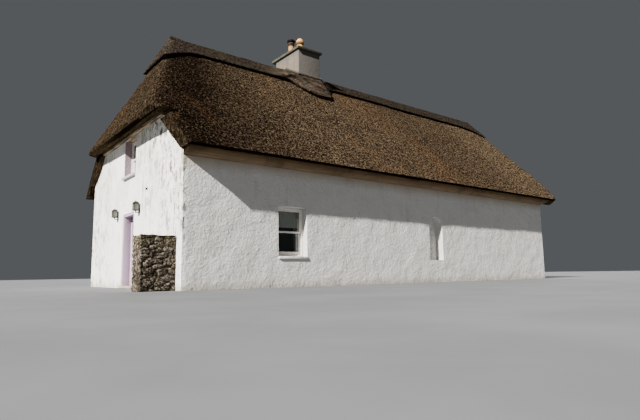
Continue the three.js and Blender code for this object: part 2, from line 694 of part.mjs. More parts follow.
// Reed dressed up round the stack, as a flatter saddle that grows out of the ridge
function saddle(rise) {
  const capZ = ROOF_APEX_Z + CAP_THICKNESS / Math.cos(ROOF_PITCH);
  const shoulder = STACK_WIDTH / 2;
  const half = [...SADDLE_SIDE, [shoulder + SADDLE_AT_STACK, SADDLE_STACK_Z]];
  const section = polygon([
    ...half,
    [0, capZ + SADDLE_RIDGE_RISE],
    ...half.map(([y, z]) => [-y, z]).reverse(),
  ]);
  const left = STACK_X - STACK_LENGTH / 2 - SADDLE_LEFT;
  const right = STACK_X + STACK_LENGTH / 2 + SADDLE_RIGHT;
  const geometry = new THREE.ExtrudeGeometry(section, {
    depth: right - left,
    steps: SADDLE_STEPS,
    bevelEnabled: false,
  });
  const positions = geometry.getAttribute('position');
  for (let i = 0; i < positions.count; i += 1) {
    const y = positions.getX(i);
    const x = left + positions.getZ(i);
    const onCap = capZ - Math.abs(y) * ROOF_TAN - SADDLE_SINK;
    const swell = THREE.MathUtils.smoothstep(x, left, left + SADDLE_LEFT_FADE)
      * (1 - THREE.MathUtils.smoothstep(x, right - SADDLE_RIGHT_FADE, right));
    positions.setY(i, onCap + (positions.getY(i) - onCap) * swell + rise);
  }
  const across = new THREE.Vector3(0, 1, 0);
  const up = new THREE.Vector3(0, 0, 1);
  const along = new THREE.Vector3(1, 0, 0);
  geometry.applyMatrix4(new THREE.Matrix4().makeBasis(across, up, along));
  geometry.translate(left, 0, 0);
  return solid(geometry);
}

// Mortar fillet where the stack leaves the reed
function addFlaunching(raised) {
  const x = STACK_LENGTH / 2 + FLAUNCHING_REACH;
  const y = STACK_WIDTH / 2 + FLAUNCHING_REACH;
  const collar = block(STACK_X - x, STACK_X + x, -y, y, CAP_APRON_Z, STACK_TOP);
  const skin = saddle(FLAUNCHING_RISE).intersect(collar);
  const bed = saddle(SEAT).add(raised);
  add('chimney_flaunching', skin.subtract(bed).subtract(stackHole()), materials.mortar);
}

// Masonry
function addLongWalls() {
  const front = block(-END_X, END_X, -SIDE_Y, -INNER_Y, 0, WALL_HEIGHT);
  const windowHole = block(
    FRONT_WINDOW_X, FRONT_WINDOW_X + FRONT_WINDOW_WIDTH,
    -SIDE_Y - POKE, -INNER_Y + POKE, FRONT_WINDOW_SILL, FRONT_WINDOW_HEAD,
  );
  add('front_wall', front.subtract(windowHole).subtract(recess()), materials.limewash);
  let rear = block(-END_X, END_X, INNER_Y, SIDE_Y, 0, WALL_HEIGHT);
  for (const centre of REAR_WINDOW_CENTRES) {
    const half = FRONT_WINDOW_WIDTH / 2;
    const hole = block(
      centre - half, centre + half, INNER_Y - POKE, SIDE_Y + POKE, FRONT_WINDOW_SILL, FRONT_WINDOW_HEAD,
    );
    rear = rear.subtract(hole);
  }
  add('rear_wall', rear, materials.limewash);
}

// Blind arched recess in the front wall
function recess() {
  const radius = RECESS_WIDTH / 2;
  const outline = new THREE.Shape();
  outline.moveTo(RECESS_X, RECESS_SILL);
  outline.lineTo(RECESS_X + RECESS_WIDTH, RECESS_SILL);
  outline.lineTo(RECESS_X + RECESS_WIDTH, RECESS_CROWN - radius);
  outline.absarc(RECESS_X + radius, RECESS_CROWN - radius, radius, 0, Math.PI, false);
  return prismAlongY(outline, -SIDE_Y - 10, -SIDE_Y + RECESS_DEPTH, 12);
}

// Gable outline above the long walls, following the underside of the reed
function gableTop() {
  const shoulder = undersideAt(SIDE_Y - THATCH_BEARING) - SEAT * 2;
  const inset = SIDE_Y - THATCH_BEARING - SEAT;
  const rest = WALL_HEIGHT + SEAT;
  return polygon([
    [-inset, rest],
    [inset, rest],
    [inset, shoulder],
    [0, undersideAt(0) - SEAT * 2],
    [-inset, shoulder],
  ]);
}

function addDoorGable() {
  const x0 = -END_X;
  const x1 = -INNER_X;
  const halfDoor = DOOR_WIDTH / 2;
  const inside = INNER_Y - SEAT;
  add('gable_wall_beside_door_front', block(x0, x1, -inside, -halfDoor, 0, WALL_HEIGHT), materials.limewash);
  add('gable_wall_beside_door_rear', block(x0, x1, halfDoor, inside, 0, WALL_HEIGHT), materials.limewash);
  const lintel = block(x0, x1, -halfDoor + SEAT, halfDoor - SEAT, DOOR_HEAD, WALL_HEIGHT + GABLE_LAP);
  const halfWindow = GABLE_WINDOW_WIDTH / 2;
  const rest = WALL_HEIGHT + SEAT;
  const wide = SIDE_Y - SOFFIT_BEARING - SEAT * 2;
  const gable = polygon([[-wide, rest], [wide, rest], ...doorGableLine(wide, SEAT * 2)]);
  const belowPlate = block(x0 - CLEAR, x1 + CLEAR, -SIDE_Y, SIDE_Y, 0, GABLE_WALL_TOP);
  const upper = prismAlongX(gable, x0, x1).intersect(belowPlate).add(lintel);
  const windowHole = block(
    x0 - POKE, x1 + POKE, -halfWindow, halfWindow, GABLE_WINDOW_SILL, GABLE_WALL_TOP + POKE,
  );
  add('gable_wall_over_door', upper.subtract(windowHole), materials.limewash);
  const plateEnd = (undersideAt(0) - GABLE_WALL_TOP) / ROOF_TAN - PLATE_END_CUT;
  const plateZ = [GABLE_WALL_TOP + SEAT, PLATE_TOP];
  const plate = block(x0 - PLATE_REACH, x0 + PLATE_IN_WALL, -plateEnd, plateEnd, ...plateZ);
  const lintelHalf = halfWindow + LINTEL_BEARING;
  const windowLintel = block(x0 + LINTEL_SETBACK, x1, -lintelHalf, lintelHalf, ...plateZ);
  const timbers = plate.add(windowLintel).subtract(roofBody(SEAT).subtract(roofVoid()));
  add('gable_wall_plate', timbers, materials.paleTimber);
}

function addPlainGable() {
  const inside = INNER_Y - SEAT;
  const lower = block(INNER_X, END_X, -inside, inside, 0, WALL_HEIGHT + GABLE_LAP);
  const upper = prismAlongX(gableTop(), INNER_X, END_X);
  add('plain_gable_wall', lower.add(upper), materials.limewash);
}

// Ground floor and boarded loft floor
function addFloors() {
  const x = INNER_X - SEAT;
  const y = INNER_Y - SEAT;
  add('ground_floor', block(-x, x, -y, y, 0, FLOOR_TOP), materials.concrete);
  let loft = block(-x, x, -y, y, LOFT_TOP - LOFT_BOARD, LOFT_TOP);
  const pitch = (2 * x - JOIST_WIDTH) / (JOIST_COUNT - 1);
  for (let i = 0; i < JOIST_COUNT; i += 1) {
    const left = -x + i * pitch;
    loft = loft.add(block(left, left + JOIST_WIDTH, -y, y, LOFT_UNDERSIDE, LOFT_TOP - LOFT_BOARD + 1));
  }
  add('loft_floor', loft.subtract(stackHole()), materials.timber);
}

// Rafters, collars, ridge beam and wall plates, joined as one frame
function addRoofFrame() {
  const drop = RAFTER_DEPTH / Math.cos(ROOF_PITCH);
  const top = undersideAt(0) - SEAT * 2;
  const footY = SIDE_Y - THATCH_BEARING - RAFTER_FOOT_INSET;
  const footTop = top - footY * ROOF_TAN;
  const couple = polygon([
    [-footY, footTop],
    [-footY, footTop - drop],
    [0, top - drop],
    [footY, footTop - drop],
    [footY, footTop],
    [0, top],
  ]);
  const collarY = (top - drop / 2 - COLLAR_Z) / ROOF_TAN;
  const collarHalf = COLLAR_DEPTH / 2;
  const plateTop = WALL_HEIGHT + WALL_PLATE_DEPTH;
  const pieces = [];
  for (const x of RAFTER_PLACES) {
    pieces.push(prismAlongX(couple, x, x + RAFTER_WIDTH));
    pieces.push(block(x, x + RAFTER_WIDTH, -collarY, collarY, COLLAR_Z - collarHalf, COLLAR_Z + collarHalf));
  }
  const plateLeft = -INNER_X + SEAT;
  const plateRight = INNER_X - SEAT;
  for (const side of [-1, 1]) {
    const y0 = side * (SIDE_Y - THATCH_BEARING - WALL_PLATE_INSET);
    const y1 = y0 - side * WALL_PLATE_WIDTH;
    const low = Math.min(y0, y1);
    const high = Math.max(y0, y1);
    pieces.push(block(plateLeft, plateRight, low, high, WALL_HEIGHT + SEAT, plateTop));
  }
  const beamTop = top - drop + RIDGE_BEAM_LAP;
  const beamBottom = beamTop - RIDGE_BEAM_DEPTH;
  const half = RIDGE_BEAM_WIDTH / 2;
  const stackClear = STACK_LENGTH / 2 + STACK_CLEARANCE;
  pieces.push(block(RAFTER_PLACES[0], STACK_X - stackClear, -half, half, beamBottom, beamTop));
  pieces.push(block(STACK_X + stackClear, plateRight, -half, half, beamBottom, beamTop));
  add('roof_frame', union(pieces), materials.timber);
}

// Stack from the ground floor up through the ridge, with its slab, pots and flashing
function addChimney() {
  const x = STACK_LENGTH / 2;
  const y = STACK_WIDTH / 2;
  add('chimney_stack', block(STACK_X - x, STACK_X + x, -y, y, FLOOR_TOP + SEAT, STACK_TOP), materials.render);
  const slabX = CHIMNEY_SLAB_LENGTH / 2;
  const slabY = CHIMNEY_SLAB_WIDTH / 2;
  const slabBottom = STACK_TOP + SEAT;
  const slabTop = slabBottom + CHIMNEY_SLAB_THICKNESS;
  const slabRear = slabY + CHIMNEY_SLAB_REAR;
  const slab = block(STACK_X - slabX, STACK_X + slabX, -slabY, slabRear, slabBottom, slabTop);
  add('chimney_slab', slab, materials.concrete);
  const potZ = slabTop + SEAT;
  add('chimney_pot_rear', turned(REAR_POT, POT_X, POT_SPREAD, potZ), materials.terracotta);
  const cowlZ = potZ + REAR_POT_HEIGHT + SEAT;
  add('chimney_cowl', turned(COWL, POT_X, POT_SPREAD, cowlZ), materials.soot);
  add('chimney_pot_front', turned(FRONT_POT, POT_X, -POT_SPREAD, potZ), materials.cream);
}

// One sash window in a local frame: x along the wall, y inwards, z up, from the opening's lower left
function sashWindow(name, width, height, group, whole) {
  const y0 = WINDOW_SETBACK;
  const outer = [SEAT, width - SEAT, SEAT, height - SEAT];
  const inner = [FRAME_FACE, width - FRAME_FACE, FRAME_FACE, height - FRAME_FACE];
  const frame = ring(outer, inner, y0, y0 + FRAME_DEPTH);
  const middle = height / 2;
  const left = inner[0] + SEAT;
  const right = inner[1] - SEAT;
  const upperY = y0 + SASH_SETBACK;
  const lowerY = upperY + SASH_THICKNESS + SEAT;
  const stiles = [left + SASH_STILE, right - SASH_STILE];
  const upperHole = [...stiles, middle + MEETING_RAIL / 2, inner[3] - SASH_STILE];
  const lowerHole = [...stiles, inner[2] + BOTTOM_RAIL, middle - MEETING_RAIL / 2];
  const upperSash = ring(
    [left, right, middle - MEETING_RAIL / 2, inner[3] - SEAT], upperHole, upperY, upperY + SASH_THICKNESS,
  );
  const lowerSash = ring(
    [left, right, inner[2] + SEAT, middle + MEETING_RAIL / 2], lowerHole, lowerY, lowerY + SASH_THICKNESS,
  );
  if (whole) {
    const joined = ring(outer, upperHole, upperY, upperY + SASH_THICKNESS)
      .intersect(block(0, width, 0, WALL_THICKNESS, middle - MEETING_RAIL / 2, height))
      .add(ring(outer, lowerHole, upperY, upperY + SASH_THICKNESS)
        .intersect(block(0, width, 0, WALL_THICKNESS, 0, middle + MEETING_RAIL / 2)));
    add(`${name}_frame`, frame.add(joined), materials.whitePaint, group);
    const glassY = upperY + SASH_THICKNESS + SEAT;
    const glass = block(left, right, glassY, glassY + GLASS_THICKNESS, inner[2] + SEAT, inner[3] - SEAT);
    add(`${name}_glass`, glass, materials.glass, group);
    return;
  }
  add(`${name}_frame`, frame, materials.whitePaint, group);
  add(`${name}_upper_sash`, upperSash, materials.whitePaint, group);
  add(`${name}_lower_sash`, lowerSash, materials.whitePaint, group);
  add(`${name}_upper_glass`, pane(upperHole, upperY), materials.glass, group);
  add(`${name}_lower_glass`, pane(lowerHole, lowerY), materials.glass, group);
}

// Rectangular ring standing in a window opening
function ring([ax0, ax1, az0, az1], [bx0, bx1, bz0, bz1], y0, y1) {
  return block(ax0, ax1, y0, y1, az0, az1).subtract(block(bx0, bx1, y0 - POKE, y1 + POKE, bz0, bz1));
}

function pane([x0, x1, z0, z1], sashY) {
  const y0 = sashY + (SASH_THICKNESS - GLASS_THICKNESS) / 2;
  return block(x0 + SEAT, x1 - SEAT, y0, y0 + GLASS_THICKNESS, z0 + SEAT, z1 - SEAT);
}

function addFrontWindow() {
  const group = new THREE.Group();
  group.position.set(FRONT_WINDOW_X, -SIDE_Y, FRONT_WINDOW_SILL);
  const height = FRONT_WINDOW_HEAD - FRONT_WINDOW_SILL;
  const stool = FRONT_STOOL.thickness;
  const body = new THREE.Group();
  body.position.set(0, 0, stool);
  group.add(body);
  sashWindow('front_window', FRONT_WINDOW_WIDTH, height - stool, body, false);
  const sill = block(
    SEAT, FRONT_WINDOW_WIDTH - SEAT, -FRONT_STOOL.nose, WINDOW_SETBACK + FRAME_DEPTH, SEAT, stool,
  );
  add('front_window_sill', sill, materials.concrete, group);
  const blindY = WINDOW_SETBACK + FRAME_DEPTH + SEAT;
  const blind = block(
    CLOTH_INSET, FRONT_WINDOW_WIDTH - CLOTH_INSET,
    blindY, blindY + BLIND_THICKNESS, height / 2 + BLIND_BOTTOM, height - CLOTH_INSET,
  );
  add('front_window_blind', blind, materials.linen, group);
  cottage.add(group);
}

function addGableWindow() {
  const group = new THREE.Group();
  group.position.set(-END_X, GABLE_WINDOW_WIDTH / 2, GABLE_WINDOW_SILL);
  group.rotation.z = -Math.PI / 2;
  const height = GABLE_WALL_TOP - GABLE_WINDOW_SILL;
  const stool = GABLE_STOOL.thickness;
  const body = new THREE.Group();
  body.position.set(0, 0, stool);
  group.add(body);
  sashWindow('gable_window', GABLE_WINDOW_WIDTH, height - stool, body, false);
  const sill = block(
    SEAT, GABLE_WINDOW_WIDTH - SEAT, -GABLE_STOOL.nose, WINDOW_SETBACK + FRAME_DEPTH, SEAT, stool,
  );
  add('gable_window_sill', sill, materials.concrete, group);
  const curtainY = WINDOW_SETBACK + FRAME_DEPTH + SEAT;
  const curtain = block(
    CLOTH_INSET, GABLE_WINDOW_WIDTH - CLOTH_INSET,
    curtainY, curtainY + CURTAIN_THICKNESS, CURTAIN_BOTTOM, height - CLOTH_INSET,
  );
  add('gable_window_curtain', curtain, materials.linen, group);
  cottage.add(group);
}

function addRearWindows() {
  const names = ['rear_window_right', 'rear_window_left'];
  REAR_WINDOW_CENTRES.forEach((centre, i) => {
    const group = new THREE.Group();
    group.position.set(centre + FRONT_WINDOW_WIDTH / 2, SIDE_Y, FRONT_WINDOW_SILL);
    group.rotation.z = Math.PI;
    const height = FRONT_WINDOW_HEAD - FRONT_WINDOW_SILL;
    sashWindow(names[i], FRONT_WINDOW_WIDTH, height, group, true);
    cottage.add(group);
  });
}

// Doorway in a local frame: x across the gable from the rear jamb, y inwards, z up
function addDoor() {
  const group = new THREE.Group();
  group.position.set(-END_X, DOOR_WIDTH / 2, 0);
  group.rotation.z = -Math.PI / 2;
  const frameY1 = DOOR_LINING_DEPTH + DOOR_LEAF_THICKNESS + DOOR_STOP_GAP;
  const clearLeft = DOOR_FRAME_FACE;
  const clearRight = DOOR_WIDTH - DOOR_FRAME_FACE;
  const clearTop = DOOR_HEAD - DOOR_FRAME_FACE;
  const rebate = block(
    clearLeft, clearRight, DOOR_LINING_DEPTH, frameY1 + POKE, 0, clearTop,
  );
  const passage = block(
    clearLeft + DOOR_STOP, clearRight - DOOR_STOP,
    DOOR_PASSAGE_SETBACK, frameY1 + POKE, 0, clearTop - DOOR_STOP,
  );
  const outerFrame = block(
    SEAT, DOOR_WIDTH - SEAT, DOOR_OUTER_SETBACK, frameY1, THRESHOLD_TOP + SEAT, DOOR_HEAD - SEAT,
  );
  const leafY0 = DOOR_LINING_DEPTH + DOOR_STOP_GAP;
  const leafY1 = leafY0 + DOOR_LEAF_THICKNESS;
  const leafLeft = clearLeft + DOOR_GAP;
  const leafRight = clearRight - DOOR_GAP;
  const leafBottom = THRESHOLD_TOP + DOOR_GAP;
  const leafTop = clearTop - DOOR_GAP;
  const pinX = clearLeft + DOOR_GAP / 2;
  const pinY = leafY1 + KNUCKLE_RADIUS + 1;
  const flapFrame = [frameY1 - HINGE_FLAP.sink, frameY1 + HINGE_FLAP.stand];
  const flapLeaf = [leafY1 - HINGE_FLAP.sink, leafY1 + HINGE_FLAP.stand];
  let frame = outerFrame.subtract(rebate).subtract(passage);
  let leaf = block(leafLeft, leafRight, leafY0, leafY1, leafBottom, leafTop);
  for (const z of [leafBottom + KNUCKLE_PLACES[0], leafTop - KNUCKLE_PLACES[1]]) {
    frame = frame.add(cylinder(KNUCKLE_RADIUS, KNUCKLE_RADIUS, pinX, pinY, z, z + KNUCKLE_HEIGHT, 16));
    frame = frame.add(block(clearLeft - HINGE_FLAP.frame, pinX, ...flapFrame, z, z + KNUCKLE_HEIGHT));
    const z1 = z + KNUCKLE_HEIGHT + SEAT;
    leaf = leaf.add(cylinder(KNUCKLE_RADIUS, KNUCKLE_RADIUS, pinX, pinY, z1, z1 + KNUCKLE_HEIGHT, 16));
    leaf = leaf.add(block(pinX, leafLeft + HINGE_FLAP.leaf, ...flapLeaf, z1, z1 + KNUCKLE_HEIGHT));
  }
  const stileLeft = leafLeft + DOOR_MARGIN;
  const stileRight = leafRight - DOOR_MARGIN;
  const lightBottom = leafBottom + DOOR_LIGHT.bottom;
  const lightTop = leafTop - DOOR_LIGHT.top;
  leaf = leaf.subtract(block(stileLeft, stileRight, leafY0 - POKE, leafY1 + POKE, lightBottom, lightTop));
  const panelZ = [leafBottom + DOOR_PANEL.bottom, leafBottom + DOOR_PANEL.top];
  leaf = leaf.subtract(block(stileLeft, stileRight, leafY0 - POKE, leafY0 + DOOR_PANEL.depth, ...panelZ));
  leaf = leaf.subtract(block(stileLeft, stileRight, leafY1 - DOOR_PANEL.depth, leafY1 + POKE, ...panelZ));
  const spindleX = leafRight - SPINDLE.inset;
  const spindleZ = leafBottom + SPINDLE.height;
  leaf = leaf.subtract(rod(spindleX, spindleZ, SPINDLE.radius, leafY0 - POKE, leafY1 + POKE));
  add('door_frame', frame, materials.lavender, group);
  add('door_leaf', leaf, materials.lavender, group);
  const glassY = (leafY0 + leafY1) / 2;
  const glassHalf = DOOR_LIGHT.thickness / 2;
  const glass = block(
    stileLeft + SEAT, stileRight - SEAT,
    glassY - glassHalf, glassY + glassHalf, lightBottom + SEAT, lightTop - SEAT,
  );
  add('door_glass', glass, materials.glass, group);
  add('door_handle', handle(spindleX, spindleZ, leafY0, leafY1), materials.iron, group);
  const threshold = block(
    SEAT, DOOR_WIDTH - SEAT, -THRESHOLD_NOSE, WALL_THICKNESS - SEAT, 0, THRESHOLD_TOP,
  );
  add('door_threshold', threshold, materials.stone, group);
  cottage.add(group);
}

// Round bar running inwards through the leaf
function rod(x, z, radius, y0, y1) {
  const geometry = new THREE.CylinderGeometry(radius, radius, y1 - y0, 16);
  geometry.translate(x, (y0 + y1) / 2, z);
  return solid(geometry);
}

// Lever handles on both faces, on one spindle
function handle(x, z, leafY0, leafY1) {
  const pieces = [rod(x, z, SPINDLE.radius - SEAT, leafY0 - SPINDLE.reach, leafY1 + SPINDLE.reach)];
  pieces.push(rod(x, z, LEVER.rose, leafY0 - LEVER.roseDepth, leafY0 - SEAT));
  pieces.push(rod(x, z, LEVER.rose, leafY1 + SEAT, leafY1 + LEVER.roseDepth));
  for (const y of [leafY0 - SPINDLE.reach, leafY1 + SPINDLE.reach - LEVER.depth]) {
    const ends = [x - LEVER.length, x + LEVER.half];
    pieces.push(block(...ends, y, y + LEVER.depth, z - LEVER.half, z + LEVER.half));
  }
  return union(pieces);
}

// Lantern: wall plate, arm and four-sided glazed body under a pyramid cap
function addLantern(name, y) {
  const x = -END_X - LANTERN_REACH;
  const half = LANTERN_SIZE / 2;
  const wall = -END_X - SEAT;
  const base = LANTERN_BASE_Z;
  const glassTop = base + LANTERN_TRAY + LANTERN_GLASS_HEIGHT;
  const hoodTop = glassTop + LANTERN_HOOD.height;
  const box = (reach, z0, z1) => block(x - reach, x + reach, y - reach, y + reach, z0, z1);
  const plateY = [y - LANTERN_PLATE.half, y + LANTERN_PLATE.half];
  const plateZ = [base - LANTERN_PLATE.below, base + LANTERN_PLATE.above];
  const armY = [y - LANTERN_ARM.half, y + LANTERN_ARM.half];
  const armZ = [base - LANTERN_ARM.bottom, base - LANTERN_ARM.top];
  const pieces = [
    block(wall - LANTERN_PLATE.depth, wall, ...plateY, ...plateZ),
    block(x, wall - LANTERN_LAP, ...armY, ...armZ),
    box(LANTERN_ARM.half, base - LANTERN_ARM.bottom, base + LANTERN_LAP),
    box(half, base, base + LANTERN_TRAY),
    box(half, glassTop, glassTop + LANTERN_HEAD),
    spire(x, y, half + LANTERN_HOOD.lap, LANTERN_HOOD.top, glassTop + LANTERN_HEAD - 1, hoodTop),
    cylinder(LANTERN_KNOB.top, LANTERN_KNOB.bottom, x, y, hoodTop - 2, glassTop + LANTERN_KNOB.height, 12),
  ];
  const corner = half - LANTERN_POST.inset;
  const postZ = [base + LANTERN_LAP, glassTop + LANTERN_LAP];
  for (const [sx, sy] of [[-1, -1], [-1, 1], [1, -1], [1, 1]]) {
    const postX = x + sx * corner;
    const postY = y + sy * corner;
    const thick = LANTERN_POST.half;
    pieces.push(block(postX - thick, postX + thick, postY - thick, postY + thick, ...postZ));
  }
  add(`${name}_body`, union(pieces), materials.lanternMetal);
  const pane = half - LANTERN_POST.inset - LANTERN_POST.half - SEAT;
  const glass = box(pane, base + LANTERN_TRAY + SEAT, glassTop - SEAT);
  add(`${name}_glass`, glass, materials.cream);
}

function spire(x, y, bottomHalf, topHalf, z0, z1) {
  const diagonal = Math.SQRT2;
  const geometry = new THREE.CylinderGeometry(topHalf * diagonal, bottomHalf * diagonal, z1 - z0, 4);
  geometry.rotateY(Math.PI / 4);
  geometry.rotateX(Math.PI / 2);
  geometry.translate(x, y, (z0 + z1) / 2);
  return solid(geometry);
}

// Rubble pier and small round boss on the gable
function addOutworks() {
  const pier = block(
    -END_X - PIER_LENGTH, -END_X - SEAT, PIER_FRONT_Y, PIER_FRONT_Y + PIER_THICKNESS, 0, PIER_HEIGHT,
  );
  add('stone_pier', pier, materials.stone);
  const bossGeometry = new THREE.CylinderGeometry(BOSS.outer, BOSS.inner, BOSS.depth, 16);
  bossGeometry.rotateZ(Math.PI / 2);
  bossGeometry.translate(-END_X - SEAT - BOSS.depth / 2, -SIDE_Y + BOSS.fromCorner, BOSS.z);
  add('gable_tie_boss', solid(bossGeometry), materials.iron);
}

addLongWalls();
addDoorGable();
addPlainGable();
addFloors();
addRoofFrame();
addSoffits();
addThatch();
addRidgeCap();
addChimney();
addFrontWindow();
addGableWindow();
addRearWindows();
addDoor();
addLantern('lantern_left', LANTERN_SPREAD);
addLantern('lantern_right', -LANTERN_SPREAD);
addOutworks();

export default cottage;
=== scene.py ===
"""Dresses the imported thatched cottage: reed, limewash, rubble, joinery, cloth and stage."""
import math

import bmesh
import bpy
from bpy.props import FloatProperty, FloatVectorProperty, IntProperty, PointerProperty
from mathutils import Matrix, Vector, geometry, noise


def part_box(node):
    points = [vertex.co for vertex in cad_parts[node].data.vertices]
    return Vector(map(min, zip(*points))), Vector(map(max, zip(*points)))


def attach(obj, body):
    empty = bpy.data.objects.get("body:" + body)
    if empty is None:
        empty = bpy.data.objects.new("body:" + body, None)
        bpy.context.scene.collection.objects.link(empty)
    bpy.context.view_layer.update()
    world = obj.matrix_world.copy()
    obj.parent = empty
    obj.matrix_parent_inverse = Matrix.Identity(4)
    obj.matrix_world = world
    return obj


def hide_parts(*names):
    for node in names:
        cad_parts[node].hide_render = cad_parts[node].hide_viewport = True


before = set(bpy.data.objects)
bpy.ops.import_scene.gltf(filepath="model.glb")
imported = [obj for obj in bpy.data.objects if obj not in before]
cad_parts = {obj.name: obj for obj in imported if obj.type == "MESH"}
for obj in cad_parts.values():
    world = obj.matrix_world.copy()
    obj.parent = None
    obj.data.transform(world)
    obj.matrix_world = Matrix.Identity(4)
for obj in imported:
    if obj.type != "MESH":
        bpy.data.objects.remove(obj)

bl_info = {
    "name": "Thatched cottage finishes",
    "version": (1, 0, 0),
    "blender": (4, 5, 0),
    "location": "3D View > Sidebar > Cottage",
    "description": "Reed, limewash, stone, joinery and cloth for a thatched cottage",
    "category": "Object",
}

# Roof planes, as the solids have them, in metres
ROOF_TOP = 7.02
EAVE_LIP_Z = 2.885
EAVE_REACH = 4.17
HIP_LIP_Z = 4.03
HIP_RUN = 1.49
ROOF_APEX = Vector((-6.13, 0.0, ROOF_TOP))
ROOF_PITCH = math.atan((ROOF_TOP - EAVE_LIP_Z) / EAVE_REACH)
HIP_PITCH = math.atan((ROOF_TOP - HIP_LIP_Z) / HIP_RUN)
FRONT_NORMAL = Vector((0.0, -math.sin(ROOF_PITCH), math.cos(ROOF_PITCH)))
REAR_NORMAL = Vector((0.0, math.sin(ROOF_PITCH), math.cos(ROOF_PITCH)))
HIP_NORMAL = Vector((-math.sin(HIP_PITCH), 0.0, math.cos(HIP_PITCH)))

# Where the ridge cap swells round the stack, and the height of its face over the apex
SADDLE_FROM = -3.34
SADDLE_TO = -0.59
CAP_APEX = 7.147

# Lower edge of the cap, and its fall and rise at the stack as knots and handles in x and z
CAP_EDGE = 6.58
CAP_FALL = ((-2.54, 6.58), (-2.19, 6.58), (-2.04, 6.04), (-1.59, 6.04))
CAP_RISE = ((-1.11, 6.04), (-0.86, 6.10), (-0.84, 6.64), (-0.61, 6.64))
CAP_EDGE_POINTS = 16

# What the saddle is pared down to: its thickness at the edge, how much it gains for each metre
# above the edge and for each metre above the stack's foot, and how it thins out at its end
SADDLE_LIP = 0.03
SADDLE_GAIN = 0.46
STACK_FOOT_GAIN = 1.4
STACK_FOOT_Z = 6.62
SADDLE_PAST_END = 0.1
SADDLE_TAPER_START = 0.7
SADDLE_TAPER_LENGTH = 0.65
SADDLE_TAPER_LOSS = 0.8

FILLET_STEP = 0.012
FLAT_ANGLE = math.radians(2)
HARD_ANGLE = math.radians(40)
WELD_DISTANCE = 1e-5
HAIRLINE = 0.0006
FACET_MARGIN = 0.98

# Stones of the pier: seed and size of their warp, cells to the metre, joints and rough faces
STONE_SEED = 5
STONE_WARP_SCALE = 7.0
STONE_WARP = 0.03
STONES_TO_METRE = (5.2, 5.2, 8.0)
JOINT_SHARPNESS = 2.2
TINT_SCALE = 3.7
STONE_SINK = 0.004

# Turned pieces: facets round, and half profiles as radius and height
LATHE_STEPS = 48
LATHE_WELD = 0.0012
POINT_RADIUS = 0.0005
COWL_PROFILE = (
    (0.09, 0), (0.09, 0.024), (0.14, 0.03), (0.142, 0.05), (0.142, 0.075), (0.135, 0.088),
    (0.1, 0.108), (0.05, 0.114), (POINT_RADIUS, 0.115),
)
FRONT_POT_HEAD = 0.21
SOOT_BAND = (8.165, 8.2)

# Nets: grid, waves across the width, half their depth, and the cloth's thickness
NET_COLUMNS = 160
NET_ROWS = 24
NET_FOLDS = 11
NET_SWING = 0.0055
NET_THICKNESS = 0.0015

# Zones of the finishes in metres, from where a change starts to where it ends
GABLE_WASH_X = (-7.0, -7.12)
CORNER_X = (-6.85, -5.95)
CORNER_FOOT_Z = 3.2
WARM_STRIP_HEAD_Z = 6.6
LEFT_SHADE_X = (-5.9, -2.6)
LONG_SHADE_X = (-3.2, 5.5)
FAR_SHADE_IN_X = (-0.5, 2.6)
FAR_SHADE_OUT_X = (6.4, 4.6)
FAR_PALER_X = (2.0, 6.0)
WARM_FADE_X = (1.0, 4.0)
EAVE_LIP_Y = (3.86, 3.94)
HIP_LIP_X = (-7.42, -7.5)
HIP_LIP_BAND_Z = (4.02, 3.92)
LEE_LIGHT_IN_X = (-1.05, -0.85)
LEE_LIGHT_OUT_X = (-0.35, -0.65)
LEE_LIGHT_Z = (6.56, 6.68)
FLECKS_Y = (0.9, 2.8)
ALGAE_Z = (1.6, 2.4)
EAVE_STAIN_AND_SHADE_Z = (2.55, 2.95)
SPLASH_Z = (0.0, -0.3)
PIER_MOSS_Z = (0.85, 1.1)
SOFFIT_Y = (3.6, 3.95)
SOFFIT_LEFT_X = (-6.6, -7.1)

# Painted reveal of the gable window: its half width, its foot and its two ends in x
REVEAL_HALF = 0.4765
REVEAL_FOOT_Z = 2.88
REVEAL_OUTER_X = -7.1485
REVEAL_INNER_X = -6.5

# Directions of the lights; the key light's is from the shadow edges in the picture
KEY_DIRECTION = Vector((1.0, 0.272, -0.734))
FILL_DIRECTION = Vector((-0.65, -0.75, -0.42))
KEY_TINT = (1.0, 0.955, 0.89)
FILL_TINT = (0.93, 0.96, 1.0)
FLOOR_DROP = 0.002

# Camera, from the fit to the picture
CAMERA_PLACE = Vector((-11.101, -13.244, 0.304))
CAMERA_YAW = 37.971
CAMERA_PITCH = 7.346
CAMERA_ROLL = -0.85
FOCAL_PIXELS = 493.9
IMAGE_WIDTH = 640
SENSOR_WIDTH = 36
VIEW_LIMIT = 400

BLACK = (0.0, 0.0, 0.0)


def tone(code):
    """Linear colour of a paint card's hex code."""
    parts = [int(code[i:i + 2], 16) / 255 for i in (0, 2, 4)]
    return tuple(c / 12.92 if c <= 0.04045 else ((c + 0.055) / 1.055) ** 2.4 for c in parts)


def colour(name, code, about):
    """A colour property with its default from a hex code."""
    return FloatVectorProperty(
        name=name, description=about, default=tone(code), subtype="COLOR", min=0, max=1,
    )


def length(name, default, about):
    """A length property in metres."""
    return FloatProperty(name=name, description=about, default=default, min=0, unit="LENGTH")


def strength(name, default, about):
    """A light's strength."""
    return FloatProperty(name=name, description=about, default=default, min=0)


def spread(name, degrees, about):
    """The angle that a light seems to fill."""
    default = math.radians(degrees)
    return FloatProperty(name=name, description=about, default=default, subtype="ANGLE")


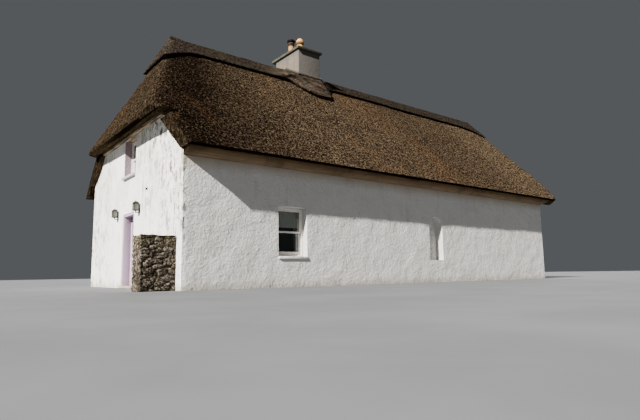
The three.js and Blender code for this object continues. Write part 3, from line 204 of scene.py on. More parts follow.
class CottageThatch(bpy.types.PropertyGroup):
    reed_step: length("Reed mesh step", 0.051, "Mesh step of the reed coats")
    cap_step: length("Cap mesh step", 0.032, "Mesh step of the ridge cap")
    undulation: length("Undulation", 0.014, "Height of the slow waves in the reed")
    tufting: length("Tufting", 0.007, "Height of the small tufts in the reed")
    reed_dark: colour("Reed shade", "150f0a", "Gaps between the reed ends")
    reed_brown: colour("Reed", "3e3127", "Weathered reed ends")
    # Painted shade for the reed's lips, undersides and cut faces and for the eave boards, also
    # their dark grain
    reed_deep: colour("Reed hollow", "0e0a06", "Shade below the lips")
    reed_pale: colour("Reed straw", "6e614c", "Bleached reed ends")
    reed_warm: colour("Reed warm streak", "77593c", "Warmer runs down the slope")
    stem: colour("Reed stems", "6d5c45", "Reed stems seen from below")
    cap_dark: colour("Ridge shade", "0b0907", "Gaps between the ridge straws")
    cap_grey: colour("Ridge", "2b2520", "Weathered ridge straws")
    cap_pale: colour("Ridge straw", "63574b", "Bleached straws in the ridge")
    moss: colour("Moss", "2b2c1c", "Moss on the ridge")
    # Also the painted light on the ridge cap just past the stack
    inner_board_and_lee_light: colour("Inner boards", "957f66", "Eave boards near the wall")
    # Darker end of the painted shade along the eave boards
    soffit_outer: colour("Outer boards", "5c4a34", "Eave boards near the lip")


class CottageMasonry(bpy.types.PropertyGroup):
    # Whiter than the long walls' wash: a cleaner wash and painted light for the full sun on the
    # door gable
    limewash: colour("Limewash", "f8f7f4", "Clean limewash on the door gable")
    wash_long: colour("Long wall limewash", "d0cfcd", "Limewash on the other walls")
    reveal: colour("Reveal paint", "95878f", "Painted reveal of the gable window")
    wash_grey: colour("Grey limewash", "b9b6b0", "Weathered limewash")
    fleck: colour("Flecks", "6f6150", "Brown flecks where the limewash has gone")
    algae: colour("Algae", "bfc3b4", "Grey-green bloom on the door gable")
    stain: colour("Stain", "70675e", "Runs below the eaves and sills")
    # Brown stain that also stands for painted shade at the tops of the long walls
    eave_stain_and_shade: colour("Eave stain", "91805f", "Brown wash down the wall from the thatch")
    splash: colour("Splash", "8a7d68", "Soil splashed on the wall's foot")
    # Also painted shade on the pier's front face
    stone_dark: colour("Stone shade", "1a1610", "Deep joints")
    stone_brown: colour("Stone", "2c261f", "Rubble")
    stone_pale: colour("Lichen", "8b8172", "Lichen on the rubble")
    moss: colour("Moss", "4a4d22", "Moss on top of the rubble")
    render: colour("Chimney render", "6a6054", "Chimney render")
    # Also painted shade under the slab and on the stack's front face
    render_dark: colour("Chimney soot", "484848", "Soot and algae on the chimney")
    slab: colour("Chimney slab", "4a4b3f", "Chimney slab")
    # Also painted shade on the slab's front face
    slab_dark: colour("Slab algae", "1c1e18", "Algae on the chimney slab")
    mortar: colour("Mortar", "a9a296", "Door step and floor")
    fillet: colour("Mortar fillet", "3f382c", "Fillet round the stack")
    sill: colour("Sill paint", "b9adb0", "Painted sill of the gable window")
    pier_step: length("Pier mesh step", 0.014, "Mesh step of the rubble pier")
    joint_depth: length("Joint depth", 0.03, "Depth of the pier's joints")


class CottageJoinery(bpy.types.PropertyGroup):
    edge: length("Edge width", 0.004, "Width of the rounded edges")
    edge_steps: IntProperty(
        name="Edge steps", description="Facets of the rounded edges", default=2, min=1, max=6,
    )
    white: colour("White paint", "e2dfd8", "Window paint")
    lavender: colour("Door paint", "b7a6b8", "Door and lining paint")
    old_timber: colour("Rough timber", "5a4a3a", "Rafters and joists")
    pale_timber: colour("Weathered timber", "d2bd9a", "Plate over the gable window")
    glass: colour("Glass", "dfe6e4", "Window glass")
    linen: colour("Linen", "d8d5cc", "Curtain and blind")
    lantern: colour("Lantern metal", "34322b", "Lanterns")
    lantern_pane: colour("Lantern panes", "6e7368", "Dusty lantern panes")
    terracotta: colour("Terracotta", "ad855a", "Rear pot")
    cream: colour("Cream clay", "c6a468", "Front pot")
    burnt: colour("Burnt clay", "5e3a1c", "Band round the front pot")
    soot: colour("Sooty metal", "0c0b0a", "Cowl")


class CottageStage(bpy.types.PropertyGroup):
    floor_width: length("Floor width", 160.0, "Width of the floor")
    floor: colour("Floor", "606265", "Floor")
    sky: colour("Surround", "dfe5ec", "Light from all round")
    sky_strength: strength("Surround strength", 0.13, "Strength of the light from all round")
    sun_strength: strength("Key strength", 16.4, "Strength of the key light")
    fill_strength: strength("Fill strength", 3.2, "Strength of the soft light from behind")
    fill_spread: spread("Fill softness", 60, "Angle of the soft light from behind")
    sun_spread: spread("Key softness", 1.2, "Angle of the key light")


class Finish:
    """A material under construction, read from object coordinates in metres."""

    def __init__(self, name, roughness=0.8, metallic=0.0, specular=0.3):
        self.material = bpy.data.materials.new(name)
        self.material.use_nodes = True
        self.tree = self.material.node_tree
        self.shader = self.tree.nodes["Principled BSDF"]
        self.shader.inputs["Roughness"].default_value = roughness
        self.shader.inputs["Metallic"].default_value = metallic
        self.shader.inputs["Specular IOR Level"].default_value = specular
        self.place = self.add("ShaderNodeTexCoord").outputs["Object"]

    def add(self, kind, inputs=(), **settings):
        node = self.tree.nodes.new(kind)
        for key, value in settings.items():
            setattr(node, key, value)
        for key, value in dict(inputs).items():
            self.feed(node.inputs[key], value)
        return node

    def feed(self, socket, value):
        if isinstance(value, bpy.types.NodeSocket):
            self.tree.links.new(value, socket)
        elif socket.type == "RGBA":
            socket.default_value = (*value[:3], 1.0)
        else:
            socket.default_value = value

    def stretched(self, x, y, z):
        """Object coordinates with their own scale on each axis."""
        return self.add("ShaderNodeMapping", {"Vector": self.place, "Scale": (x, y, z)}).outputs[0]

    def noise(self, scale, detail=3.0, rough=0.55, vector=None, warp=0.0):
        inputs = {
            "Vector": vector or self.place, "Scale": scale, "Detail": detail, "Roughness": rough,
            "Distortion": warp,
        }
        return self.add("ShaderNodeTexNoise", inputs).outputs["Fac"]

    def span(self, value, low, high, to_low=0.0, to_high=1.0):
        """Maps a value smoothly from one range to another and clamps it there."""
        inputs = {0: value, 1: low, 2: high, 3: to_low, 4: to_high}
        return self.add("ShaderNodeMapRange", inputs, interpolation_type="SMOOTHSTEP").outputs[0]

    def maths(self, operation, a, b=0.0):
        return self.add("ShaderNodeMath", {0: a, 1: b}, operation=operation).outputs[0]

    def plus(self, a, b):
        return self.maths("ADD", a, b)

    def minus(self, a, b):
        return self.maths("SUBTRACT", a, b)

    def times(self, a, b):
        return self.maths("MULTIPLY", a, b)

    def size(self, value):
        return self.maths("ABSOLUTE", value)

    def mix(self, share, a, b, kind="MIX"):
        node = self.add("ShaderNodeMix", data_type="RGBA", blend_type=kind)
        self.feed(node.inputs[0], share)
        self.feed(node.inputs[6], a)
        self.feed(node.inputs[7], b)
        return node.outputs[2]

    def axis(self, vector, name):
        return self.add("ShaderNodeSeparateXYZ", {0: vector}).outputs[name]

    def along(self, name):
        return self.axis(self.place, name)

    def facing(self, name):
        return self.axis(self.add("ShaderNodeNewGeometry").outputs["Normal"], name)

    def attribute(self, name):
        return self.add("ShaderNodeAttribute", attribute_name=name).outputs["Fac"]

    def relief(self, height, distance, strength=1.0, below=None):
        """Bumps the surface, over a coarser relief where one is given."""
        inputs = {"Height": height, "Distance": distance, "Strength": strength}
        if below is not None:
            inputs["Normal"] = below
        normal = self.add("ShaderNodeBump", inputs).outputs["Normal"]
        self.feed(self.shader.inputs["Normal"], normal)
        return normal

    def paint(self, value):
        self.feed(self.shader.inputs["Base Color"], value)

    def rough(self, value):
        self.feed(self.shader.inputs["Roughness"], value)


def reed_finish(s):
    """Weathered water reed: butt ends on the slopes and long stems underneath."""
    f = Finish("reed", roughness=0.92, specular=0.0)
    across = f.along("X")
    up = f.along("Z")
    down = f.stretched(1.0, 1.0, 0.4)
    clumps = f.noise(21, 1, 0.8, down)
    ends = f.noise(40, 2, 0.9, down)
    speck = f.plus(f.times(clumps, 0.5), f.times(ends, 0.5))

    # Reed ends, with painted shade on the front slope's left corner, and paler at its far end
    lean = f.minus(across, f.times(f.minus(up, CORNER_FOOT_Z), 0.32))
    # Painted shade: more dark gaps on the front-facing side of the left corner
    corner = f.times(f.span(lean, *CORNER_X, 1.0, 0.0), f.span(f.facing("Y"), -0.2, -0.5))
    thick = f.minus(speck, f.times(corner, 0.045))
    thick = f.plus(thick, f.span(across, *FAR_PALER_X, 0.0, 0.009))
    body = f.mix(f.span(thick, 0.45, 0.51), s.reed_dark, s.reed_brown)
    body = f.mix(f.span(thick, 0.515, 0.58), body, s.reed_pale)

    # Warm runs, and a strip of them down the slope from the stack
    runs = f.noise(1.0, 4, 0.65, f.stretched(1.1, 0.35, 0.35), 0.6)
    sweep = f.minus(across, f.times(f.minus(WARM_STRIP_HEAD_Z, up), 0.62))
    strip = f.times(f.span(sweep, -1.2, 0.1), f.span(sweep, 1.0, 0.3))
    warm = f.plus(f.span(runs, 0.48, 0.7, 0.0, 0.3), f.times(strip, 0.18))
    warm = f.times(warm, f.span(speck, 0.4, 0.58))
    warm = f.times(warm, f.span(across, *WARM_FADE_X, 1.0, 0.3))
    body = f.mix(warm, body, s.reed_warm)

    # Broad shade, deepest at the left
    mottle = f.noise(2.1, 4, 0.6)
    wavering = f.plus(across, f.times(mottle, 0.35))
    left = f.span(wavering, *LEFT_SHADE_X, 0.42, 0.0)
    shade = f.plus(left, f.span(across, *LONG_SHADE_X, 0.2, 0.0))
    shade = f.plus(shade, f.span(mottle, 0.38, 0.62, 0.08, 0.0))
    beyond = f.times(f.span(across, *FAR_SHADE_IN_X, 0.0, 0.2), f.span(across, *FAR_SHADE_OUT_X))
    shade = f.plus(shade, beyond)
    body = f.mix(shade, body, BLACK, "MULTIPLY")

    # Stems on the underside over painted shade, painted shade darkest at the lips, and painted
    # shade on the steep cut faces
    stems = f.noise(1.0, 4, 0.6, f.stretched(60, 4, 4))
    under = f.mix(f.span(stems, 0.35, 0.65, 0.0, 0.55), s.reed_deep, s.stem)
    # Painted shade under the eave and hip lips
    under = f.mix(f.span(f.size(f.along("Y")), *EAVE_LIP_Y), under, s.reed_deep)
    lip = f.times(f.span(across, *HIP_LIP_X), f.span(up, *HIP_LIP_BAND_Z))
    under = f.mix(lip, under, s.reed_deep)
    # Painted shade on steep faces such as the verges and lips
    level = f.facing("Z")
    body = f.mix(f.span(f.size(level), 0.3, 0.1, 0.0, 0.5), body, s.reed_deep)
    f.paint(f.mix(f.span(level, -0.15, -0.45), body, under))
    soft = f.relief(f.noise(9, 3, 0.5), 0.05, 0.4)
    f.relief(speck, 0.05, 1.0, soft)
    return f.material


def cap_finish(s):
    """Ridge straws laid over the apex and bent round the stack, with moss in patches."""
    f = Finish("ridge_straw", roughness=0.92, specular=0.0)
    across = f.along("X")
    at_stack = f.times(
        f.span(across, SADDLE_FROM - 0.2, SADDLE_FROM + 0.9),
        f.span(across, SADDLE_TO + 0.15, SADDLE_TO - 0.1),
    )
    laid = f.noise(1.0, 4, 0.7, f.stretched(30, 7, 7))
    bent = f.noise(1.0, 4, 0.7, f.stretched(2.5, 16, 16), 0.3)
    strands = f.axis(f.mix(at_stack, laid, bent), 0)
    speck = f.noise(30, 2, 0.8)
    grain = f.plus(f.times(strands, 0.6), f.times(speck, 0.4))
    body = f.mix(f.span(grain, 0.42, 0.55), s.cap_dark, s.cap_grey)
    bleached = f.times(f.span(grain, 0.5, 0.62), f.plus(f.times(at_stack, 0.4), 0.3))
    body = f.mix(bleached, body, s.cap_pale)
    body = f.mix(f.times(at_stack, 0.2), body, s.cap_pale)
    hollows = f.noise(1.0, 4, 0.7, f.stretched(4.0, 11, 11), 0.5)
    body = f.mix(f.times(at_stack, f.span(hollows, 0.48, 0.6, 0.0, 0.75)), body, s.cap_dark)

    # Painted light: paler straw colour on the cap just past the stack, lifting the shadow cast
    # there
    lee_light = f.times(f.span(across, *LEE_LIGHT_IN_X), f.span(across, *LEE_LIGHT_OUT_X))
    lee_light = f.times(lee_light, f.span(grain, 0.44, 0.56, 0.25, 0.75))
    body = f.mix(f.times(lee_light, f.span(f.along("Z"), *LEE_LIGHT_Z)), body, s.inner_board_and_lee_light)
    patch = f.noise(1.4, 4, 0.65)
    body = f.mix(f.span(patch, 0.48, 0.7, 0.0, 0.35), body, s.moss)
    f.paint(body)
    f.relief(grain, 0.04, 1.0)
    return f.material


def limewash_finish(s):
    """Layered limewash on lumpy plaster, stained in runs and splashed at the foot."""
    f = Finish("limewash", roughness=0.93, specular=0.15)
    deep = f.along("X")
    tall = f.along("Z")
    side = f.along("Y")
    # The door gable's wash is whiter than the long walls': a cleaner wash and painted light for
    # the full sun on it
    outside = f.span(deep, *GABLE_WASH_X)
    clean = f.mix(outside, s.wash_long, s.limewash)
    worn = f.span(deep, *GABLE_WASH_X, 1.0, 0.35)
    faded = f.times(f.span(f.noise(1.1, 5, 0.65), 0.42, 0.72, 0.0, 0.28), worn)
    body = f.mix(faded, clean, s.wash_grey)
    faded = f.times(f.span(f.noise(14, 4, 0.7), 0.52, 0.72, 0.0, 0.2), worn)
    body = f.mix(faded, body, s.wash_grey)

    # Runs on every wall, fainter on the long ones
    runs = f.noise(1.0, 5, 0.7, f.stretched(7, 7, 0.8))
    spots = f.noise(1.7, 3, 0.6)
    stained = f.times(f.span(runs, 0.5, 0.68), f.span(spots, 0.42, 0.62, 0.0, 0.5))
    stained = f.times(stained, f.span(deep, *GABLE_WASH_X, 0.35, 1.0))
    body = f.mix(stained, body, s.stain)

    # Broken drips on the door gable, thickest high up towards the front
    drips = f.noise(1.0, 3, 0.75, f.stretched(10, 10, 1.9), 0.8)
    breaks = f.noise(5.5, 4, 0.7)
    weather = f.plus(f.times(side, -0.35), f.times(f.minus(tall, 2.2), 0.35))
    high = f.span(f.plus(weather, f.times(spots, 1.6)), 0.9, 2.0, 0.06, 1.0)
    broken = f.times(f.span(drips, 0.455, 0.555), f.span(breaks, 0.41, 0.54))
    body = f.mix(f.times(f.times(broken, high), outside), body, s.stain)

    # Flecks towards the gable's rear corner, and a bloom of algae higher up
    flecks = f.noise(1.0, 5, 0.85, f.stretched(9, 9, 5))
    flecked = f.times(f.span(flecks, 0.49, 0.55), f.span(side, *FLECKS_Y))
    flecked = f.times(flecked, f.span(spots, 0.4, 0.56, 0.1, 0.85))
    body = f.mix(f.times(flecked, outside), body, s.fleck)
    algae = f.times(f.span(f.noise(0.9, 4, 0.6), 0.44, 0.58, 0.0, 0.4), f.span(tall, *ALGAE_Z))
    body = f.mix(f.times(algae, outside), body, s.algae)

    # Brown stain under the eaves of the long walls, which also paints the shade darkening their
    # tops
    ragged = f.plus(tall, f.times(spots, 0.12))
    long_wall = f.span(f.size(f.facing("Y")), 0.4, 0.6)
    eaves = f.times(f.span(ragged, *EAVE_STAIN_AND_SHADE_Z, 0.0, 0.8), long_wall)
    body = f.mix(eaves, body, s.eave_stain_and_shade)

    # Painted reveal of the gable window, and the splashed foot
    opening = f.times(
        f.maths("LESS_THAN", f.size(side), REVEAL_HALF),
        f.maths("GREATER_THAN", tall, REVEAL_FOOT_Z),
    )
    inside = f.times(
        f.maths("GREATER_THAN", deep, REVEAL_OUTER_X),
        f.maths("LESS_THAN", deep, REVEAL_INNER_X),
    )
    body = f.mix(f.times(opening, inside), body, s.reveal)
    foot = f.plus(tall, f.times(f.noise(3, 4, 0.7), -0.5))
    body = f.mix(f.span(foot, *SPLASH_Z, 0.0, 0.6), body, s.splash)
    f.paint(body)
    waves = f.relief(f.noise(1.9, 3, 0.5), 0.1, 0.5)
    lumps = f.relief(f.noise(7, 4, 0.6), 0.03, 0.4, waves)
    f.relief(f.noise(19, 4, 0.65), 0.027, 0.75, lumps)
    return f.material


def rubble_finish(s):
    """Rubble with lichen, its stones and joints read from the mesh, and painted shade on its front
    face.
    """
    f = Finish("rubble", roughness=0.95, specular=0.03)
    tint = f.attribute("stone_tint")
    joint = f.attribute("stone_joint")
    body = f.mix(f.times(tint, 0.6), s.stone_brown, s.render_dark)
    body = f.mix(f.span(f.noise(17, 5, 0.75), 0.42, 0.60, 0.0, 0.85), body, s.stone_dark)
    grown = f.span(f.noise(24, 5, 0.8), 0.47, 0.58)
    lichen = f.times(grown, f.span(f.noise(5, 3), 0.34, 0.56, 0.2, 1.0))
    body = f.mix(lichen, body, s.stone_pale)
    body = f.mix(f.span(joint, 0.25, 0.02, 0.0, 0.6), body, s.stone_dark)
    damp = f.span(f.noise(12, 4, 0.7), 0.45, 0.6, 0.0, 0.45)
    top = f.times(f.span(f.along("Z"), *PIER_MOSS_Z), damp)
    body = f.mix(top, body, s.moss)
    # Painted shade on the face turned to the front
    body = f.mix(f.span(f.facing("Y"), -0.2, -0.7, 0.0, 0.24), body, s.stone_dark)
    f.paint(body)
    f.relief(f.noise(55, 5, 0.75), 0.015, 0.9)
    return f.material


def render_finish(name, clean, dirt_and_shade, top=None):
    """Cement render or stone, with dirt in runs and, where a top is given, painted shade below the
    top and on the front face.
    """
    f = Finish(name, roughness=0.9, specular=0.2)
    runs = f.noise(1.0, 5, 0.7, f.stretched(9, 9, 1.5))
    body = f.mix(f.span(runs, 0.42, 0.7, 0.0, 0.7), clean, dirt_and_shade)
    body = f.mix(f.span(f.noise(16, 4, 0.7), 0.5, 0.7, 0.0, 0.5), body, dirt_and_shade)
    if top is not None:
        # Painted shade under the slab at the top, and on the face turned to the front
        body = f.mix(f.span(f.along("Z"), top - 0.25, top, 0.0, 0.55), body, dirt_and_shade)
        body = f.mix(f.span(f.facing("Y"), -0.4, -0.8, 0.0, 0.72), body, dirt_and_shade)
    f.paint(body)
    lumps = f.relief(f.noise(9, 3), 0.02, 0.5)
    f.relief(f.noise(70, 4, 0.65), 0.004, 0.7, lumps)
    return f.material


def soffit_finish(s):
    """Old boards under the eaves, with painted shade darker towards the reed's lip, at the left
    end and on the end faces.
    """
    f = Finish("soffit_boards", roughness=0.9, specular=0.03)
    grain = f.noise(1.0, 5, 0.65, f.stretched(1.2, 26, 26), 0.4)
    # Painted shade growing towards the lip
    body = f.mix(f.span(f.size(f.along("Y")), *SOFFIT_Y), s.inner_board_and_lee_light, s.soffit_outer)
    body = f.mix(f.span(grain, 0.42, 0.62, 0.3, 0.0), body, s.reed_deep)
    body = f.mix(f.span(f.noise(2.0, 4, 0.7), 0.45, 0.7, 0.0, 0.35), body, s.reed_deep)
    # Painted shade at the left end and on the end faces
    body = f.mix(f.span(f.along("X"), *SOFFIT_LEFT_X, 0.0, 0.35), body, s.reed_deep)
    body = f.mix(f.span(f.facing("X"), -0.3, -0.8, 0.0, 0.85), body, s.reed_deep)
    f.paint(body)
    f.relief(grain, 0.004, 0.7)
    return f.material


def timber_finish(name, base, dark, along=(1.2, 22, 22)):
    """Weathered wood with its grain along one axis."""
    f = Finish(name, roughness=0.85, specular=0.2)
    grain = f.noise(1.0, 5, 0.65, f.stretched(*along), 0.4)
    body = f.mix(f.span(grain, 0.35, 0.68), dark, base)
    body = f.mix(f.span(f.noise(3, 3), 0.45, 0.7, 0.0, 0.4), body, dark)
    f.paint(body)
    f.relief(grain, 0.006, 0.8)
    return f.material


def paint_finish(name, base, dark, gloss=0.42):
    """Brushed gloss paint, dull and dirty in places."""
    f = Finish(name, roughness=gloss, specular=0.4)
    f.paint(f.mix(f.span(f.noise(5, 5, 0.7), 0.5, 0.75, 0.0, 0.35), base, dark))
    f.rough(f.span(f.noise(9, 3), 0.3, 0.7, gloss - 0.08, gloss + 0.2))
    f.relief(f.noise(1.0, 3, 0.6, f.stretched(60, 60, 4)), 0.0008, 0.6)
    return f.material


def clay_finish(name, base, dark, low, high, end=99.0):
    """Fired clay, darkened in a band or above a height."""
    f = Finish(name, roughness=0.85, specular=0.2)
    body = f.mix(f.span(f.noise(12, 4, 0.65), 0.45, 0.75, 0.0, 0.3), base, dark)
    height = f.plus(f.along("Z"), f.times(f.noise(9, 3), 0.04))
    above = f.span(height, low + 0.02, high + 0.02, 0.0, 0.92)
    f.paint(f.mix(f.times(above, f.span(height, end + 0.05, end + 0.01)), body, dark))
    f.relief(f.noise(80, 3, 0.6), 0.002, 0.7)
    return f.material


def metal_finish(name, base, rust, shine=0.55):
    """Old painted metal with rubbed and rusty patches."""
    f = Finish(name, roughness=0.5, metallic=shine, specular=0.4 * shine)
    f.paint(f.mix(f.span(f.noise(30, 4, 0.7), 0.5, 0.7, 0.0, 0.6), base, rust))
    f.rough(f.span(f.noise(22, 3), 0.3, 0.7, 0.38, 0.72))
    f.relief(f.noise(120, 2), 0.0008, 0.5)
    return f.material


def glass_finish(name, tint, clear=1.0, roughness=0.03):
    """Thin clear glass, dusty and slightly wavy."""
    f = Finish(name, roughness=roughness, specular=0.6)
    f.shader.inputs["Transmission Weight"].default_value = clear
    f.shader.inputs["IOR"].default_value = 1.45
    dust = f.span(f.noise(7, 4, 0.7), 0.45, 0.8, 0.0, 0.25)
    f.paint(f.mix(dust, tint, (0.55, 0.55, 0.52)))
    f.relief(f.noise(4, 2), 0.004, 0.25)
    return f.material


def cloth_finish(name, base):
    """Plain woven linen."""
    f = Finish(name, roughness=0.9, specular=0.15)
    f.shader.inputs["Sheen Weight"].default_value = 0.25
    warp = f.noise(1, 2, 0.5, f.stretched(900, 900, 80))
    weft = f.noise(1, 2, 0.5, f.stretched(80, 80, 900))
    weave = f.times(warp, weft)
    f.paint(f.mix(f.span(weave, 0.15, 0.35, 0.25, 0.0), base, (0.35, 0.34, 0.31)))
    f.relief(weave, 0.0006, 0.8)
    return f.material


def node_mesh(name):
    """A merged copy of a CAD node."""
    work = bmesh.new()
    work.from_mesh(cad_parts[name].data)
    bmesh.ops.remove_doubles(work, verts=work.verts, dist=WELD_DISTANCE)
    return work


def remeshed(work, step):
    """The closed skin of a mesh, in faces of one size."""
    draft = draft_object(work)
    voxels = draft.modifiers.new("Step", "REMESH")
    voxels.mode = "VOXEL"
    voxels.voxel_size = step
    skin = evaluated(draft)
    discard(draft)
    return skin


def joined(names):
    """One solid from neighbouring CAD nodes that leave a hairline between them."""
    drafts = []
    for name in names:
        work = node_mesh(name)
        work.normal_update()
        for vert in work.verts:
            vert.co += vert.normal * HAIRLINE
        drafts.append(draft_object(work))
    whole = drafts[0]
    for other in drafts[1:]:
        union = whole.modifiers.new("Union", "BOOLEAN")
        union.operation = "UNION"
        union.solver = "EXACT"
        union.object = other
    result = evaluated(whole)
    for draft in drafts:
        discard(draft)
    return result


def faceted(work, step):
    """The closed skin of a mesh in faces of about one size, with its hard edges kept."""
    places = [vert.co.x for vert in work.verts]
    size = max(places) - min(places)
    draft = draft_object(work)
    cells = draft.modifiers.new("Step", "REMESH")
    cells.mode = "SHARP"
    cells.octree_depth = max(1, math.ceil(math.log2(size / step / FACET_MARGIN)))
    cells.scale = size / step / 2 ** cells.octree_depth
    cells.use_remove_disconnected = True
    skin = evaluated(draft)
    discard(draft)
    return skin


def draft_object(work):
    """A passing object for a bmesh, which it uses up."""
    data = bpy.data.meshes.new("draft")
    work.to_mesh(data)
    work.free()
    draft = bpy.data.objects.new("draft", data)
    bpy.context.scene.collection.objects.link(draft)
    return draft


def evaluated(draft):
    """A bmesh of an object as its modifiers leave it."""
    shaped = draft.evaluated_get(bpy.context.evaluated_depsgraph_get())
    skin = bmesh.new()
    skin.from_mesh(shaped.to_mesh())
    return skin


def discard(draft):
    data = draft.data
    bpy.data.objects.remove(draft)
    bpy.data.meshes.remove(data)


def make_piece(work, name, material, node, body="house", sharp=35.0):
    """Turns a bmesh into a smooth piece that rides on a body and stands for a CAD node."""
    data = bpy.data.meshes.new(name)
    work.to_mesh(data)
    work.free()
    data.materials.append(material)
    data.polygons.foreach_set("use_smooth", [True] * len(data.polygons))
    if sharp:
        data.set_sharp_from_angle(angle=math.radians(sharp))
    piece = bpy.data.objects.new(name, data)
    bpy.context.scene.collection.objects.link(piece)
    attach(piece, body)
    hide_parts(node)
    return piece


def softened(node, material, width, steps, body="house"):
    """A copy of a CAD node with its hard edges rounded."""
    work = node_mesh(node)
    bmesh.ops.dissolve_limit(work, angle_limit=FLAT_ANGLE, verts=work.verts, edges=work.edges)
    hard = [e for e in work.edges if e.is_manifold and e.calc_face_angle(0) > HARD_ANGLE]
    bmesh.ops.bevel(
        work, geom=hard, offset=width, offset_type="OFFSET", segments=steps, profile=0.5,
        affect="EDGES", clamp_overlap=True, material=-1,
    )
    return make_piece(work, node + "_finished", material, node, body, sharp=50.0)


def dress(names, material):
    """Gives CAD nodes a finish in their own material slots."""
    for name in names:
        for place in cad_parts[name].material_slots:
            place.material = material


def smoothed(work, factor):
    """Evens out a skin once along all three axes."""
    bmesh.ops.smooth_vert(
        work, verts=work.verts, factor=factor, use_axis_x=True, use_axis_y=True, use_axis_z=True,
    )


def weathered(work, slow, small, period=0.9):
    """Moves a skin along its normals in slow waves and small tufts."""
    work.normal_update()
    for vert in work.verts:
        place = vert.co
        wave = noise.noise(place / period) * slow + noise.noise(place * 3.1) * slow * 0.35
        tuft = noise.noise(place * 9.0) * small + noise.noise(place * 21.0) * small * 0.6
        vert.co += vert.normal * (wave + tuft)


def cut_away(work, point, normal):
    """Cuts off what lies on the far side of a plane and closes the cut."""
    everything = work.verts[:] + work.edges[:] + work.faces[:]
    cut = bmesh.ops.bisect_plane(
        work, geom=everything, plane_co=point, plane_no=normal, clear_outer=True,
    )
    rim = [e for e in cut["geom_cut"] if isinstance(e, bmesh.types.BMEdge)]
    bmesh.ops.holes_fill(work, edges=rim, sides=0)


def lay_floor(context, s):
    """A plain floor just below the house, which the export leaves out."""
    finish = Finish("studio_floor", roughness=0.85, specular=0.1)
    shade = finish.span(finish.noise(0.8, 3), 0.3, 0.7, 0.0, 0.06)
    finish.paint(finish.mix(shade, s.floor, (0.5, 0.5, 0.5)))
    work = bmesh.new()
    bmesh.ops.create_grid(work, x_segments=2, y_segments=2, size=s.floor_width / 2)
    bmesh.ops.translate(work, verts=work.verts, vec=(0, 0, -FLOOR_DROP))
    data = bpy.data.meshes.new("studio_floor")
    work.to_mesh(data)
    work.free()
    data.materials.append(finish.material)
    floor = bpy.data.objects.new("studio_floor", data)
    context.scene.collection.objects.link(floor)


def light_stage(context, s):
    """Light from all round, a hard key light and a soft fill from behind."""
    world = bpy.data.worlds.new("surround")
    world.use_nodes = True
    background = world.node_tree.nodes["Background"]
    background.inputs["Color"].default_value = (*s.sky, 1)
    background.inputs["Strength"].default_value = s.sky_strength
    context.scene.world = world
    for name, energy, angle, tint, aim in (
        ("key", s.sun_strength, s.sun_spread, KEY_TINT, KEY_DIRECTION),
        ("fill", s.fill_strength, s.fill_spread, FILL_TINT, FILL_DIRECTION),
    ):
        light = bpy.data.lights.new(name, "SUN")
        light.energy = energy
        light.angle = angle
        light.color = tint
        lamp = bpy.data.objects.new(name, light)
        lamp.rotation_euler = aim.to_track_quat("-Z", "Y").to_euler()
        context.scene.collection.objects.link(lamp)


def set_camera(context):
    """The camera that took the picture, turned by its yaw, pitch and roll."""
    yaw, pitch, roll = (math.radians(a) for a in (CAMERA_YAW, CAMERA_PITCH, CAMERA_ROLL))
    reach = math.cos(pitch)
    ahead = Vector((math.sin(yaw) * reach, math.cos(yaw) * reach, math.sin(pitch)))
    level = Vector((math.cos(yaw), -math.sin(yaw), 0))
    up = level.cross(ahead)
    right = level * math.cos(roll) + up * math.sin(roll)
    above = up * math.cos(roll) - level * math.sin(roll)
    lens = bpy.data.cameras.new("picture")
    lens.sensor_width = SENSOR_WIDTH
    lens.lens = FOCAL_PIXELS * SENSOR_WIDTH / IMAGE_WIDTH
    lens.clip_end = VIEW_LIMIT
    camera = bpy.data.objects.new("picture", lens)
    turn = Matrix((right, above, -ahead)).transposed().to_4x4()
    camera.matrix_world = Matrix.Translation(CAMERA_PLACE) @ turn
    context.scene.collection.objects.link(camera)
    context.scene.camera = camera


class COTTAGE_OT_stage(bpy.types.Operator):
    """Makes the floor, the light and the camera"""
    bl_idname = "cottage.stage"
    bl_label = "Stage"

    def execute(self, context):
        s = context.scene.cottage_stage
        lay_floor(context, s)
        light_stage(context, s)
        set_camera(context)
        return {"FINISHED"}


class COTTAGE_OT_thatch(bpy.types.Operator):
    """Lays the reed coats over both slopes and the half-hip"""
    bl_idname = "cottage.thatch"
    bl_label = "Reed coats"

    def execute(self, context):
        s = context.scene.cottage_thatch
        reed = reed_finish(s)
        step = s.reed_step * 1.0
        skin = faceted(joined(("front_thatch", "rear_thatch", "hip_thatch")), step)
        smoothed(skin, 0.35)
        weathered(skin, s.undulation, s.tufting)
        for side, normal, inward in (("front", FRONT_NORMAL, 1), ("rear", REAR_NORMAL, -1)):
            coat = skin.copy()
            cut_away(coat, ROOF_APEX, Vector((0, inward, 0)))
            cut_away(coat, ROOF_APEX, (HIP_NORMAL - normal).normalized())
            make_piece(coat, f"{side}_reed_coat", reed, f"{side}_thatch", sharp=60.0)
        for normal in (FRONT_NORMAL, REAR_NORMAL):
            cut_away(skin, ROOF_APEX, -(HIP_NORMAL - normal).normalized())
        make_piece(skin, "hip_reed_coat", reed, "hip_thatch", sharp=60.0)
        return {"FINISHED"}


def cap_edge_line():
    """Points along the cap's lower edge at the stack."""
    line = []
    for curve in (CAP_FALL, CAP_RISE):
        knots = (Vector((x, z, 0)) for x, z in curve)
        line += geometry.interpolate_bezier(*knots, CAP_EDGE_POINTS)
    return line


